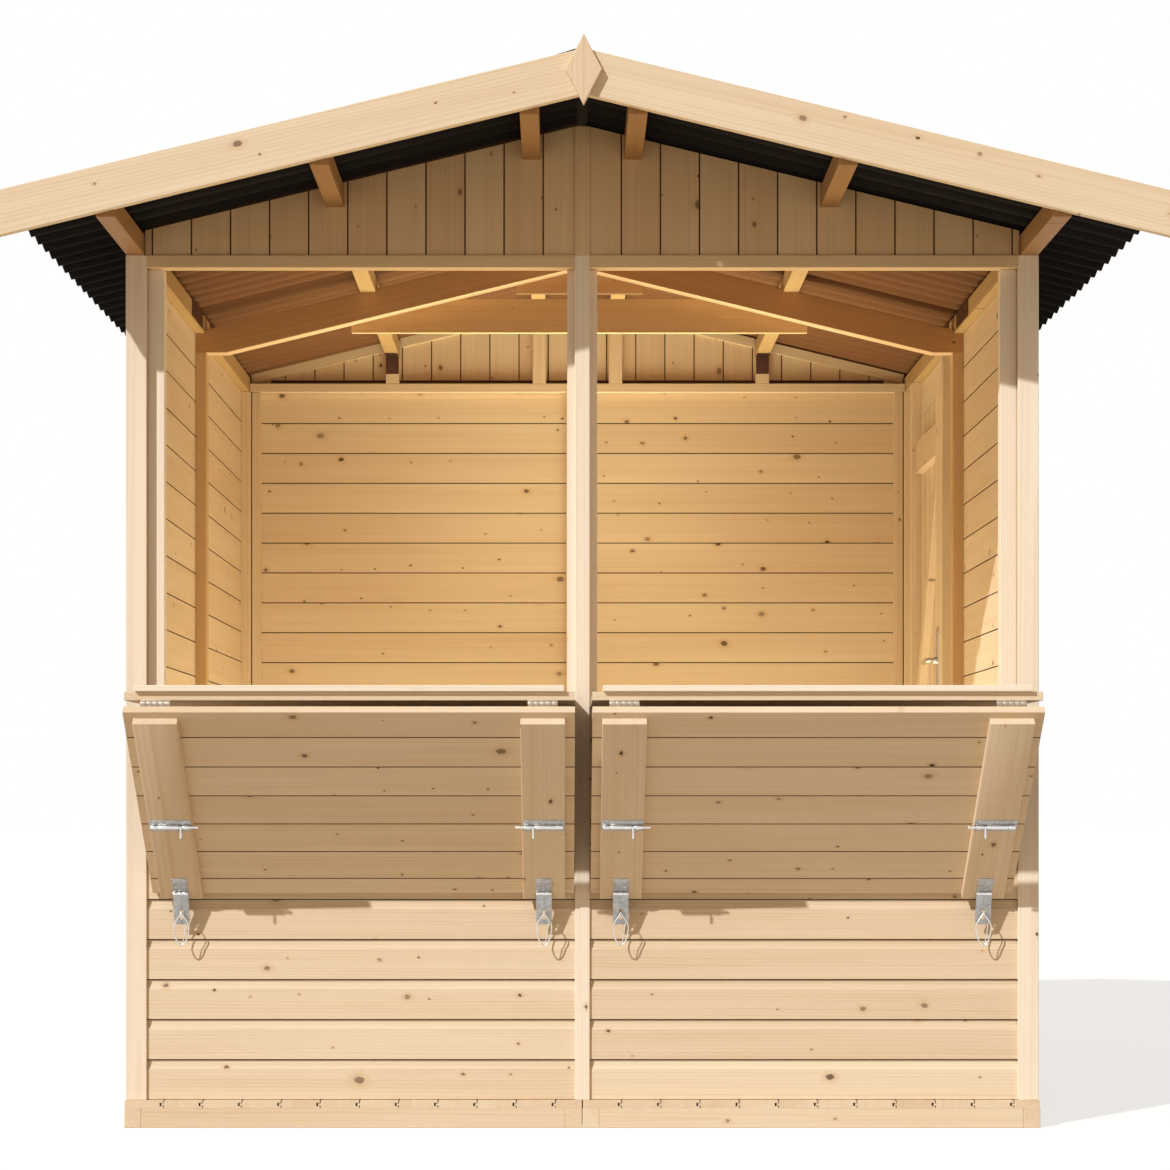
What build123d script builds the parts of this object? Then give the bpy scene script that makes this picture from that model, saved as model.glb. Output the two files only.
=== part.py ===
"""Wooden market hut: board walls, a trussed corrugated roof, two folding serving hatches and a side door.

Millimetres. +X is to the right of the serving front, -Y is the front, +Z is up, and the ground is at zero.
"""

import os
from math import atan2, cos, hypot, radians, sin, tan

from build123d import *

# Hut body, over the faces of the wall boards
hut_width = 2010.0
hut_depth = 1950.0
wall_height = 1862.0
board_thickness = 16.0

# Frame battens stand on the inside of the boards
batten_depth = 28.0
batten_width = 44.0
gable_rail_height = 26.0

# Wall and floor panels meet at a narrow joint
panel_joint = 1.0

# Trims stand on the outside of the boards
trim_thickness = 6.0
corner_trim_width = 46.0
corner_trim_lap = 1.0
centre_trim_width = 33.0

# Floor: two framed decks side by side
base_side_margin = 2.0
base_end_margin = 14.0
bearer_height = 44.0
bearer_width = 37.0
bearers_per_frame = 5
deck_thickness = 16.0

# Serving front
sill_rise = 884.0
header_height = 28.0
mullion_width = 66.0
jamb_width = 37.0

# Roof
roof_pitch = 13.6
purlin_width = 40.0
purlin_height = 45.0
middle_purlin_share = 0.542
ridge_purlin_x = 112.0
gable_overhang = 378.0
eaves_overhang = 175.0
wave_count = 36
wave_height = 27.0
wave_flank_angle = 48.0
sheet_thickness = 3.0
ridge_gap = 10.0
cap_half_width = 150.0
cap_thickness = 3.0
cap_left_pitch = 17.0
cap_right_pitch = 23.7

# Bargeboards and finials
bargeboard_width = 92.0
bargeboard_thickness = 18.0
bargeboard_drop = 40.0
bargeboard_overrun = 35.0
finial_width = 75.0
finial_height = 145.0
finial_thickness = 16.0

# Truss at mid depth
truss_thickness = 44.0
rafter_depth = 70.0
rafter_seat_drop = 49.0
truss_plate_thickness = 16.0
collar_share = 0.588
collar_height = 88.0
collar_lift = 10.0
gusset_half_width = 164.0
gusset_lift = 112.0

# Folding hatches
panel_thickness = 18.0
hatch_gap = 1.5
hatch_end_margin = 60.0
counter_depth = 387.0
fold_forward = 9.0
fold_drop = 12.0
flap_foot_rise = 468.0
lip_inset = 21.5
lip_width = 30.0
lip_thickness = 13.0
lip_overhang = 10.0
flap_batten_width = 92.0
flap_batten_thickness = 18.0
flap_batten_inset = 20.0
flap_batten_setback = 17.0
flap_batten_foot = 2.0

# Hatch hardware
hinge_width = 62.0
hinge_leaf = 30.0
hinge_plate = 2.0
hinge_inset = 35.0
knuckle_radius = 6.3
bolt_rise = 236.0
bolt_plate_length = 90.0
bolt_plate_width = 32.0
bolt_plate_thickness = 2.0
bolt_barrel_radius = 4.5
bolt_barrel_length = 83.0
bolt_barrel_bedding = 0.8
bolt_rod_radius = 2.8
bolt_rod_reach = 60.0
bolt_knob_share = 0.25
bolt_knob_radius = 2.5
bolt_knob_length = 20.0
hasp_width = 34.0
hasp_plate = 2.0
hasp_foot = 24.0
hasp_fixed_length = 45.0
hasp_loose_length = 71.0
hasp_lean = 18.0
hasp_knuckle_radius = 4.0
hasp_corner_share = 0.25
hasp_slot_length = 24.0
hasp_slot_width = 8.0
hasp_slot_setback = 22.0

# Side door, in the rear half of the right wall
doorway_front = 205.0
doorway_rear_margin = 220.0
doorway_head = 92.0
door_lock_gap = 8.0
door_hinge_gap = 6.0
door_end_gap = 8.0
door_face_setback = 2.0
door_frame_thickness = 22.0
door_stile_inset = 9.0
door_board_width = 88.0
door_ledge_setback = 50.0
door_ledge_shares = (0.05, 0.44, 0.9)

# Door hinges and handle
strap_length = 190.0
strap_height = 36.0
strap_thickness = 4.0
hinge_barrel_radius = 5.5
hinge_axis_out = 7.0
hinge_axis_inset = 1.0
hinge_pin_radius = 3.0
pin_clearance = 0.3
barrel_gap = 0.4
pin_plate_length = 44.0
pin_plate_reach = 2.0
handle_rise = 1036.0
handle_plate_height = 220.0
handle_plate_width = 40.0
handle_plate_thickness = 3.0
handle_plate_top_share = 0.41
handle_neck_radius = 8.0
handle_neck_length = 34.0
handle_lever_length = 112.0
handle_lever_height = 18.0
handle_lever_thickness = 10.0

# Derived places: half sizes and faces
wall_x = hut_width / 2
wall_y = hut_depth / 2
board_in_x = wall_x - board_thickness
board_in_y = wall_y - board_thickness
frame_in_x = board_in_x - batten_depth
frame_in_y = board_in_y - batten_depth
trim_y = wall_y + trim_thickness
base_x = wall_x + base_side_margin
base_y = trim_y + base_end_margin
floor_top = bearer_height + deck_thickness
wall_top = floor_top + wall_height
sill_top = floor_top + sill_rise
header_bottom = wall_top - header_height
jamb_x = frame_in_x - jamb_width
front_frame_back_y = wall_y - batten_depth

# Derived roof lines: heights fall away from the ridge by the slope
slope = tan(radians(roof_pitch))
eaves_purlin_x = wall_x - purlin_width / 2
middle_purlin_x = wall_x * middle_purlin_share
roof_y = wall_y + gable_overhang
eaves_x = wall_x + eaves_overhang
bargeboard_x = eaves_x + bargeboard_overrun
purlin_lines = (eaves_purlin_x, middle_purlin_x, ridge_purlin_x)


def purlin_bottom(x):
    """Height of the level underside of the purlin centred at x."""
    return wall_top + slope * (eaves_purlin_x - x)


def sheet_underside(x):
    """Height of the roof sheets' lowest line at x, where they lie on the purlins' outer top edges."""
    return wall_top + purlin_height + slope * (wall_x - x)


def rafter_top(x):
    """Height of the rafters' upper edge at x, from which the purlins' level seats are cut."""
    return wall_top + slope * (wall_x - x)


def elevation(y):
    """Plane seen from the front at depth y: sketches there use X and Z and grow towards the front."""
    return Plane.XZ.offset(-y)


def timber(x_range, y_range, z_range):
    """Add one straight timber, given by its low and high ends along X, Y and Z, to the part being built."""
    ends = (x_range, y_range, z_range)
    centre = [(low + high) / 2 for low, high in ends]
    with Locations(tuple(centre)):
        Box(*[high - low for low, high in ends])


def finish(piece, name):
    """Label a finished piece and write it to its own file."""
    piece.part.label = name
    export_step(piece.part, f"parts/{name}.step")


os.makedirs("parts", exist_ok=True)

# Floor frames: joists run front to back along both edges of each deck
joist_near_x = (panel_joint + bearer_width) / 2
joist_far_x = base_x - bearer_width / 2
with BuildPart() as floor_joists:
    with BuildSketch(Plane.XY):
        with Locations(*[(side * x, 0) for side in (-1, 1) for x in (joist_near_x, joist_far_x)]):
            Rectangle(bearer_width, 2 * base_y)
    extrude(amount=bearer_height)
finish(floor_joists, "floor_joists")

bearer_span = base_x - panel_joint / 2 - 2 * bearer_width
bearer_x = (joist_near_x + joist_far_x) / 2
bearer_pitch = (2 * base_y - bearer_width) / (bearers_per_frame - 1)
with BuildPart() as floor_bearers:
    with BuildSketch(Plane.XY):
        with GridLocations(2 * bearer_x, bearer_pitch, 2, bearers_per_frame):
            Rectangle(bearer_span, bearer_width)
    extrude(amount=bearer_height)
finish(floor_bearers, "floor_bearers")

deck_x = (panel_joint / 2 + base_x) / 2
with BuildPart() as floor_decks:
    with BuildSketch(Plane.XY.offset(bearer_height)):
        with GridLocations(2 * deck_x, 0, 2, 1):
            Rectangle(base_x - panel_joint / 2, 2 * base_y)
    extrude(amount=deck_thickness)
finish(floor_decks, "floor_decks")

# Wall boards: each wall is two panels, the front ones only as high as the sill
panel_start = panel_joint / 2
with BuildPart() as front_wall:
    timber((panel_start, board_in_x), (-wall_y, -board_in_y), (floor_top, sill_top))
    mirror(about=Plane.YZ)
finish(front_wall, "front_wall")

with BuildPart() as back_wall:
    timber((panel_start, board_in_x), (board_in_y, wall_y), (floor_top, wall_top))
    mirror(about=Plane.YZ)
finish(back_wall, "back_wall")

with BuildPart() as left_wall:
    timber((-wall_x, -board_in_x), (panel_start, wall_y), (floor_top, wall_top))
    mirror(about=Plane.XZ)
finish(left_wall, "left_wall")

# The right wall's rear panel is split beside and over the doorway
doorway_rear = wall_y - doorway_rear_margin
doorway_top = wall_top - doorway_head
right_boards = (board_in_x, wall_x)
with BuildPart() as right_wall:
    for along in ((-wall_y, -panel_start), (panel_start, doorway_front), (doorway_rear, wall_y)):
        timber(right_boards, along, (floor_top, wall_top))
finish(right_wall, "right_wall")

with BuildPart() as right_wall_over_door:
    timber(right_boards, (doorway_front, doorway_rear), (doorway_top, wall_top))
finish(right_wall_over_door, "right_wall_over_door")

# Gables: boards up to the roof sheets, notched where the purlins pass
gable_x = wall_x - purlin_width
gable_rail_top = wall_top + gable_rail_height
for name, face_y in (("front_gable", -board_in_y), ("back_gable", wall_y)):
    with BuildPart() as gable:
        with BuildSketch(elevation(face_y)):
            with BuildLine():
                Polyline(
                    (-gable_x, wall_top),
                    (gable_x, wall_top),
                    (gable_x, sheet_underside(gable_x)),
                    (0, sheet_underside(0)),
                    (-gable_x, sheet_underside(gable_x)),
                    close=True,
                )
            make_face()
            for x in (middle_purlin_x, ridge_purlin_x):
                with Locations(*[(s * x, purlin_bottom(x) + purlin_height) for s in (-1, 1)]):
                    Rectangle(purlin_width, 2 * purlin_height, mode=Mode.SUBTRACT)
        extrude(amount=board_thickness)
    finish(gable, name)

with BuildPart() as gable_studs:
    for y_range in ((-board_in_y, -frame_in_y), (frame_in_y, board_in_y)):
        for x in (middle_purlin_x, ridge_purlin_x):
            for side in (-1, 1):
                across = (side * x - purlin_width / 2, side * x + purlin_width / 2)
                timber(across, y_range, (gable_rail_top, purlin_bottom(x)))
finish(gable_studs, "gable_studs")

# Trims outside the boards
corner_trim_x = wall_x + corner_trim_lap - corner_trim_width / 2
trim_spacing_y = wall_y + trim_y
with BuildPart() as wall_trims:
    with BuildSketch(Plane.XY.offset(floor_top)):
        with GridLocations(2 * corner_trim_x, trim_spacing_y, 2, 2):
            Rectangle(corner_trim_width, trim_thickness)
        with GridLocations(0, trim_spacing_y, 1, 2):
            Rectangle(centre_trim_width, trim_thickness)
    extrude(amount=wall_height)
finish(wall_trims, "wall_trims")

gable_trim_top = sheet_underside(centre_trim_width / 2)
with BuildPart() as gable_trims:
    with BuildSketch(Plane.XY.offset(wall_top)):
        with GridLocations(0, trim_spacing_y, 1, 2):
            Rectangle(centre_trim_width, trim_thickness)
    extrude(amount=gable_trim_top - wall_top)
finish(gable_trims, "gable_trims")

# Serving front: the jambs and the mullion stand on the sill in line with the wall frames, and the header lies on them
front_frame_y = (-board_in_y, -frame_in_y)
with BuildPart() as front_posts:
    post_z = (sill_top, header_bottom)
    for across in ((-frame_in_x, -jamb_x), (-mullion_width / 2, mullion_width / 2), (jamb_x, frame_in_x)):
        timber(across, front_frame_y, post_z)
    timber((-centre_trim_width / 2, centre_trim_width / 2), (-wall_y, -board_in_y), post_z)
finish(front_posts, "front_posts")

header_ends = (centre_trim_width / 2, wall_x + corner_trim_lap - corner_trim_width)
with BuildPart() as front_header:
    timber(header_ends, (-trim_y, -front_frame_back_y), (header_bottom, wall_top))
    mirror(about=Plane.YZ)
finish(front_header, "front_header")

# Wall frames inside the boards: rails along the floor and the sill, and under the gables
back_frame_y = (frame_in_y, board_in_y)
frame_across = (-frame_in_x, frame_in_x)
corner_stud_y = board_in_y - batten_width
post_y = truss_thickness / 2
floor_rail_z = (floor_top, floor_top + batten_width)
with BuildPart() as wall_rails:
    timber(frame_across, front_frame_y, (sill_top - batten_width, sill_top))
    for along in (front_frame_y, back_frame_y):
        timber(frame_across, along, floor_rail_z)
        timber((-gable_x, gable_x), along, (wall_top, gable_rail_top))
    for along in ((-corner_stud_y, -post_y), (post_y, corner_stud_y)):
        timber((-board_in_x, -frame_in_x), along, floor_rail_z)
    timber((frame_in_x, board_in_x), (-corner_stud_y, -post_y), floor_rail_z)
finish(wall_rails, "wall_rails")

# Studs between the rails of the front and back frames
front_stud_top = sill_top - batten_width
with BuildPart() as wall_studs:
    for along, stud_top in ((front_frame_y, front_stud_top), (back_frame_y, wall_top)):
        stud_z = (floor_top + batten_width, stud_top)
        timber((-mullion_width / 2, mullion_width / 2), along, stud_z)
        timber((-frame_in_x, -frame_in_x + batten_depth), along, stud_z)
        timber((frame_in_x - batten_depth, frame_in_x), along, stud_z)
finish(wall_studs, "wall_studs")

# Studs of the side frames: one in each corner, and one each side of the doorway
stud_x = (frame_in_x + board_in_x) / 2
jamb_offset = batten_width / 2
with BuildPart() as side_studs:
    with BuildSketch(Plane.XY.offset(floor_top)):
        with GridLocations(2 * stud_x, 2 * board_in_y - batten_width, 2, 2):
            Rectangle(batten_depth, batten_width)
        with Locations((stud_x, doorway_front - jamb_offset), (stud_x, doorway_rear + jamb_offset)):
            Rectangle(batten_depth, batten_width)
    extrude(amount=wall_height)
finish(side_studs, "side_studs")

# Truss at mid depth: posts on the side walls carry the rafters, with plates fixed behind them
seat_z = wall_top - rafter_seat_drop
with BuildPart() as truss_posts:
    timber((frame_in_x, board_in_x), (-post_y, post_y), (floor_top, seat_z))
    mirror(about=Plane.YZ)
finish(truss_posts, "truss_posts")

rafter_rise = rafter_depth / cos(radians(roof_pitch))
seat_start_x = wall_x - (rafter_rise - rafter_seat_drop) / slope
with BuildPart() as rafter_right:
    with BuildSketch(elevation(post_y)):
        with BuildLine():
            Polyline(
                (0, rafter_top(0)),
                (board_in_x, rafter_top(board_in_x)),
                (board_in_x, seat_z),
                (seat_start_x, seat_z),
                (0, rafter_top(0) - rafter_rise),
                close=True,
            )
        make_face()
        for x in purlin_lines:
            with Locations((x, purlin_bottom(x) + purlin_height / 2)):
                Rectangle(purlin_width, purlin_height, mode=Mode.SUBTRACT)
    extrude(amount=truss_thickness)
finish(rafter_right, "rafter_right")

with BuildPart() as rafter_left:
    mirror(rafter_right.part, about=Plane.YZ)
finish(rafter_left, "rafter_left")

plate_y = (post_y, post_y + truss_plate_thickness)
collar_bottom = wall_top + collar_lift
collar_half_length = wall_x * collar_share
with BuildPart() as collar_tie:
    timber((-collar_half_length, collar_half_length), plate_y, (collar_bottom, collar_bottom + collar_height))
finish(collar_tie, "collar_tie")

gusset_top_drop = purlin_width * slope
with BuildPart() as ridge_gusset:
    with BuildSketch(elevation(post_y + truss_plate_thickness)):
        with BuildLine():
            Polyline(
                (-gusset_half_width, wall_top + gusset_lift),
                (gusset_half_width, wall_top + gusset_lift),
                (gusset_half_width, rafter_top(gusset_half_width) - gusset_top_drop),
                (0, rafter_top(0) - gusset_top_drop),
                (-gusset_half_width, rafter_top(gusset_half_width) - gusset_top_drop),
                close=True,
            )
        make_face()
    extrude(amount=truss_plate_thickness)
finish(ridge_gusset, "ridge_gusset")

# Purlins run the whole length of the roof
with BuildPart() as purlins:
    for x in purlin_lines:
        across = (x - purlin_width / 2, x + purlin_width / 2)
        timber(across, (-roof_y, roof_y), (purlin_bottom(x), purlin_bottom(x) + purlin_height))
    mirror(about=Plane.YZ)
finish(purlins, "purlins")

# Corrugated sheets: a rounded zigzag in the plane across the slope, run down from the ridge
half_wave = roof_y / wave_count
flank = radians(wave_flank_angle)
zigzag_height = half_wave * tan(flank)
wave_radius = (zigzag_height - wave_height) / (2 / cos(flank) - 2)
skin = sheet_thickness / 2


def wave_line(lift):
    """Points and corner radii of one face of the sheet, at the given distance above its middle surface."""
    shift = (wave_height + sheet_thickness) / 2 + lift / cos(flank)
    points = [(-roof_y, shift)]
    radii = []
    for corner in range(2 * wave_count):
        crest = corner % 2 == 1
        height = zigzag_height / 2 if crest else -zigzag_height / 2
        points.append((-roof_y + (corner + 0.5) * half_wave, shift + height))
        radii.append(wave_radius + lift if crest else wave_radius - lift)
    points.append((roof_y, shift))
    return points, radii


sheet_plane = Plane(
    origin=(ridge_gap, 0, sheet_underside(ridge_gap)),
    x_dir=(0, 1, 0),
    z_dir=(cos(radians(roof_pitch)), 0, -sin(radians(roof_pitch))),
)
with BuildPart() as roof_sheet_right:
    with BuildSketch(sheet_plane):
        with BuildLine():
            lower_points, lower_radii = wave_line(-skin)
            upper_points, upper_radii = wave_line(skin)
            FilletPolyline(*lower_points, radius=lower_radii)
            FilletPolyline(*upper_points, radius=upper_radii)
            Line(lower_points[0], upper_points[0])
            Line(lower_points[-1], upper_points[-1])
        make_face()
    extrude(amount=(eaves_x - ridge_gap) / cos(radians(roof_pitch)))
finish(roof_sheet_right, "roof_sheet_right")

with BuildPart() as roof_sheet_left:
    mirror(roof_sheet_right.part, about=Plane.YZ)
finish(roof_sheet_left, "roof_sheet_left")

# Ridge cap: its right wing lies on the wave crests, and it sits askew so that its left wing stands clear
crest_rise = (wave_height + sheet_thickness) / cos(radians(roof_pitch))
cap_right_edge = sheet_underside(cap_half_width) + crest_rise
cap_apex = cap_right_edge + cap_half_width * tan(radians(cap_right_pitch))
cap_left_edge = cap_apex - cap_half_width * tan(radians(cap_left_pitch))
with BuildPart() as ridge_cap:
    with BuildSketch(elevation(roof_y)):
        with BuildLine():
            Polyline(
                (-cap_half_width, cap_left_edge),
                (0, cap_apex),
                (cap_half_width, cap_right_edge),
                (cap_half_width, cap_right_edge + cap_thickness),
                (0, cap_apex + cap_thickness),
                (-cap_half_width, cap_left_edge + cap_thickness),
                close=True,
            )
        make_face()
    extrude(amount=2 * roof_y)
finish(ridge_cap, "ridge_cap")

# Bargeboards cover the purlin ends, and a diamond finial covers each joint at the ridge
barge_apex = sheet_underside(0) - bargeboard_drop
barge_rise = bargeboard_width / cos(radians(roof_pitch))
barge_fall = slope * bargeboard_x
for side, name in ((-1, "bargeboards_left"), (1, "bargeboards_right")):
    with BuildPart() as bargeboards:
        with BuildSketch(elevation(-roof_y)):
            with BuildLine():
                Polyline(
                    (0, barge_apex),
                    (side * bargeboard_x, barge_apex - barge_fall),
                    (side * bargeboard_x, barge_apex - barge_fall + barge_rise),
                    (0, barge_apex + barge_rise),
                    close=True,
                )
            make_face()
        extrude(amount=bargeboard_thickness)
        mirror(about=Plane.XZ)
    finish(bargeboards, name)

with BuildPart() as finials:
    with BuildSketch(elevation(-roof_y - bargeboard_thickness)):
        with BuildLine():
            finial_z = barge_apex + barge_rise / 2
            Polyline(
                (0, finial_z - finial_height / 2),
                (finial_width / 2, finial_z),
                (0, finial_z + finial_height / 2),
                (-finial_width / 2, finial_z),
                close=True,
            )
        make_face()
    extrude(amount=finial_thickness)
    mirror(about=Plane.XZ)
finish(finials, "finials")

# Folding hatches: the counter stands level at the sill and the flap props it against the wall
hatch_x = centre_trim_width / 2 + hatch_gap
hatch_width = wall_x - hatch_end_margin - hatch_x
counter_front_y = -wall_y - counter_depth
counter_bottom = sill_top - panel_thickness
with BuildPart() as counters:
    timber((hatch_x, hatch_x + hatch_width), (counter_front_y, -wall_y), (counter_bottom, sill_top))
    mirror(about=Plane.YZ)
finish(counters, "counters")

lip_x = (hatch_x + lip_inset, hatch_x + hatch_width - lip_inset)
lip_y = counter_front_y - lip_overhang
lip_z = (sill_top, sill_top + lip_thickness)
with BuildPart() as counter_lips:
    timber(lip_x, (lip_y, lip_y + lip_width), lip_z)
    mirror(about=Plane.YZ)
finish(counter_lips, "counter_lips")

# The flap's own directions: up along it from its foot on the wall, and out of its front face
flap_foot = (-wall_y, floor_top + flap_foot_rise)
flap_head = (counter_front_y - fold_forward, counter_bottom - fold_drop)
flap_length = hypot(flap_head[0] - flap_foot[0], flap_head[1] - flap_foot[1])
flap_lean = atan2(flap_foot[0] - flap_head[0], flap_head[1] - flap_foot[1])


def flap_point(up, out):
    """Y and Z of a place on the flap, up from its foot and out from its back face."""
    y = flap_foot[0] - up * sin(flap_lean) - out * cos(flap_lean)
    z = flap_foot[1] + up * cos(flap_lean) - out * sin(flap_lean)
    return (y, z)


def flap_strip(low, high, back, front):
    """Corners, in Y and Z, of a strip lying along the flap."""
    return [flap_point(low, back), flap_point(high, back), flap_point(high, front), flap_point(low, front)]


def flap_plane(x, up, out):
    """Plane on the flap's front at a place: X across, then up the flap, growing outwards."""
    y, z = flap_point(up, out)
    return Plane(origin=(x, y, z), x_dir=(1, 0, 0), z_dir=(0, -cos(flap_lean), -sin(flap_lean)))


with BuildPart() as flaps:
    with BuildSketch(Plane.YZ.offset(hatch_x)):
        with BuildLine():
            Polyline(*flap_strip(0, flap_length, 0, panel_thickness), close=True)
        make_face()
    extrude(amount=hatch_width)
    mirror(about=Plane.YZ)
finish(flaps, "flaps")

batten_near_x = hatch_x + flap_batten_inset
batten_far_x = hatch_x + hatch_width - flap_batten_inset - flap_batten_width
batten_front = panel_thickness + flap_batten_thickness
batten_head = flap_length - flap_batten_setback
batten_strip = flap_strip(flap_batten_foot, batten_head, panel_thickness, batten_front)
with BuildPart() as flap_battens:
    for start_x in (batten_near_x, batten_far_x):
        with BuildSketch(Plane.YZ.offset(start_x)):
            with BuildLine():
                Polyline(*batten_strip, close=True)
            make_face()
        extrude(amount=flap_batten_width)
    mirror(about=Plane.YZ)
finish(flap_battens, "flap_battens")

# Hatch hinges: one pair at each fold, and one pair under each counter at the wall
fold_y = (counter_front_y + flap_head[0]) / 2
fold_z = (counter_bottom + flap_head[1]) / 2 - hinge_plate / 2
wall_hinge_y = -wall_y - knuckle_radius
wall_hinge_z = counter_bottom - knuckle_radius
hinge_starts = (hatch_x + hinge_inset, hatch_x + hatch_width - hinge_inset - hinge_width)
with BuildPart() as hatch_hinges:
    for start_x in hinge_starts:
        with BuildSketch(Plane.YZ.offset(start_x)):
            with Locations((fold_y, fold_z)):
                Circle(knuckle_radius)
            with Locations((fold_y + hinge_leaf / 2, counter_bottom - hinge_plate / 2)):
                Rectangle(hinge_leaf, hinge_plate)
            with BuildLine():
                Polyline(*flap_strip(flap_length - hinge_leaf, flap_length, -hinge_plate, 0), close=True)
            make_face()
        extrude(amount=hinge_width)
        with BuildSketch(Plane.YZ.offset(start_x)):
            with Locations((wall_hinge_y, wall_hinge_z)):
                Circle(knuckle_radius)
            with Locations((wall_hinge_y - hinge_leaf / 2, counter_bottom - hinge_plate / 2)):
                Rectangle(hinge_leaf, hinge_plate)
            with Locations((-wall_y - hinge_plate / 2, wall_hinge_z - hinge_leaf / 2)):
                Rectangle(hinge_plate, hinge_leaf)
        extrude(amount=hinge_width)
    mirror(about=Plane.YZ)
finish(hatch_hinges, "hatch_hinges")

# Barrel bolts lie across the flap battens, their rods pushed out towards the hatch's middle
barrel_out = batten_front + bolt_plate_thickness + bolt_barrel_radius - bolt_barrel_bedding
with BuildPart() as barrel_bolts:
    for batten_x, inward in ((batten_near_x, 1), (batten_far_x, -1)):
        bolt_x = batten_x + flap_batten_width / 2
        with BuildSketch(flap_plane(bolt_x, bolt_rise, batten_front)):
            Rectangle(bolt_plate_length, bolt_plate_width)
        extrude(amount=bolt_plate_thickness)
        barrel_y, barrel_z = flap_point(bolt_rise, barrel_out)
        barrel_plane = Plane(origin=(bolt_x, barrel_y, barrel_z), x_dir=(0, 1, 0), z_dir=(inward, 0, 0))
        with BuildSketch(barrel_plane):
            Circle(bolt_barrel_radius)
        extrude(amount=bolt_barrel_length / 2, both=True)
        with BuildSketch(barrel_plane):
            Circle(bolt_rod_radius)
        extrude(amount=bolt_rod_reach)
        knob_x = bolt_x + inward * bolt_plate_length * bolt_knob_share
        with BuildSketch(Plane(origin=(knob_x, barrel_y, barrel_z), x_dir=(1, 0, 0), z_dir=(0, 0, -1))):
            Circle(bolt_knob_radius)
        extrude(amount=bolt_barrel_radius + bolt_knob_length)
    mirror(about=Plane.YZ)
finish(barrel_bolts, "barrel_bolts")

# Hasps: a fixed leaf low on each flap batten and a slotted leaf that hangs from its knuckle towards the wall
hasp_y, hasp_z = flap_point(hasp_foot, batten_front + hasp_knuckle_radius)
hasp_head = hasp_foot + hasp_fixed_length
leaf_out = (0, -cos(radians(hasp_lean)), -sin(radians(hasp_lean)))
hasp_strip = flap_strip(hasp_foot, hasp_head, batten_front, batten_front + hasp_plate)
with BuildPart() as hasps:
    for batten_x in (batten_near_x, batten_far_x):
        start_x = batten_x + (flap_batten_width - hasp_width) / 2
        with BuildSketch(Plane.YZ.offset(start_x)):
            with BuildLine():
                Polyline(*hasp_strip, close=True)
            make_face()
            with Locations((hasp_y, hasp_z)):
                Circle(hasp_knuckle_radius)
        extrude(amount=hasp_width)
        leaf_plane = Plane(origin=(start_x + hasp_width / 2, hasp_y, hasp_z), x_dir=(1, 0, 0), z_dir=leaf_out)
        with BuildSketch(leaf_plane):
            with Locations((0, -hasp_loose_length / 2)):
                Rectangle(hasp_width, hasp_loose_length)
            fillet(vertices().group_by(Axis.Z)[0], radius=hasp_width * hasp_corner_share)
            with Locations((0, hasp_slot_setback - hasp_loose_length)):
                SlotOverall(hasp_slot_length, hasp_slot_width, rotation=90, mode=Mode.SUBTRACT)
        extrude(amount=hasp_plate)
    mirror(about=Plane.YZ)
finish(hasps, "hasps")

# Side door: boards on ledges and braces, with a stile that carries the handle
leaf_y = (doorway_front + door_lock_gap, doorway_rear - door_hinge_gap)
leaf_z = (floor_top + door_end_gap, doorway_top - door_end_gap)
leaf_out_x = wall_x - door_face_setback
leaf_in_x = leaf_out_x - board_thickness
door_in_x = leaf_in_x - door_frame_thickness
with BuildPart() as door_leaf:
    timber((leaf_in_x, leaf_out_x), leaf_y, leaf_z)
finish(door_leaf, "door_leaf")

stile_y = (leaf_y[0] + door_stile_inset, leaf_y[0] + door_stile_inset + door_board_width)
door_frame_x = (door_in_x, leaf_in_x)
with BuildPart() as door_stile:
    timber(door_frame_x, stile_y, leaf_z)
finish(door_stile, "door_stile")

ledge_y = (stile_y[1], leaf_y[1] - door_ledge_setback)
door_ledge_rises = [share * (doorway_top - floor_top) for share in door_ledge_shares]
with BuildPart() as door_ledges:
    for rise in door_ledge_rises:
        timber(door_frame_x, ledge_y, (floor_top + rise, floor_top + rise + door_board_width))
finish(door_ledges, "door_ledges")

with BuildPart() as door_braces:
    for low_rise, high_rise in zip(door_ledge_rises, door_ledge_rises[1:]):
        low_z = floor_top + low_rise + door_board_width
        high_z = floor_top + high_rise
        lean = atan2(ledge_y[1] - ledge_y[0], high_z - low_z)
        brace_rise = door_board_width / sin(lean)
        with BuildSketch(Plane.YZ.offset(door_in_x)):
            with BuildLine():
                Polyline(
                    (ledge_y[1], low_z),
                    (ledge_y[1], low_z + brace_rise / 2),
                    (ledge_y[0], high_z),
                    (ledge_y[0], high_z - brace_rise / 2),
                    close=True,
                )
            make_face()
        extrude(amount=door_frame_thickness)
finish(door_braces, "door_braces")

# Door hinges: straps on the door turn on pins that stand on the wall
axis_x = wall_x + hinge_axis_out
axis_y = leaf_y[1] + hinge_axis_inset
hinge_rises = (door_ledge_rises[0], door_ledge_rises[-1])
hinge_heights = [floor_top + rise + door_board_width / 2 for rise in hinge_rises]
with BuildPart() as door_hinge_straps:
    for height in hinge_heights:
        strap_z = (height, height + strap_height)
        timber((leaf_out_x, leaf_out_x + strap_thickness), (axis_y - strap_length, leaf_y[1]), strap_z)
        with BuildSketch(Plane.XY.offset(height)):
            with Locations((axis_x, axis_y)):
                Circle(hinge_barrel_radius)
        extrude(amount=strap_height)
        with BuildSketch(Plane.XY.offset(height)):
            with Locations((axis_x, axis_y)):
                Circle(hinge_pin_radius + pin_clearance)
        extrude(amount=strap_height, mode=Mode.SUBTRACT)
finish(door_hinge_straps, "door_hinge_straps")

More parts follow.
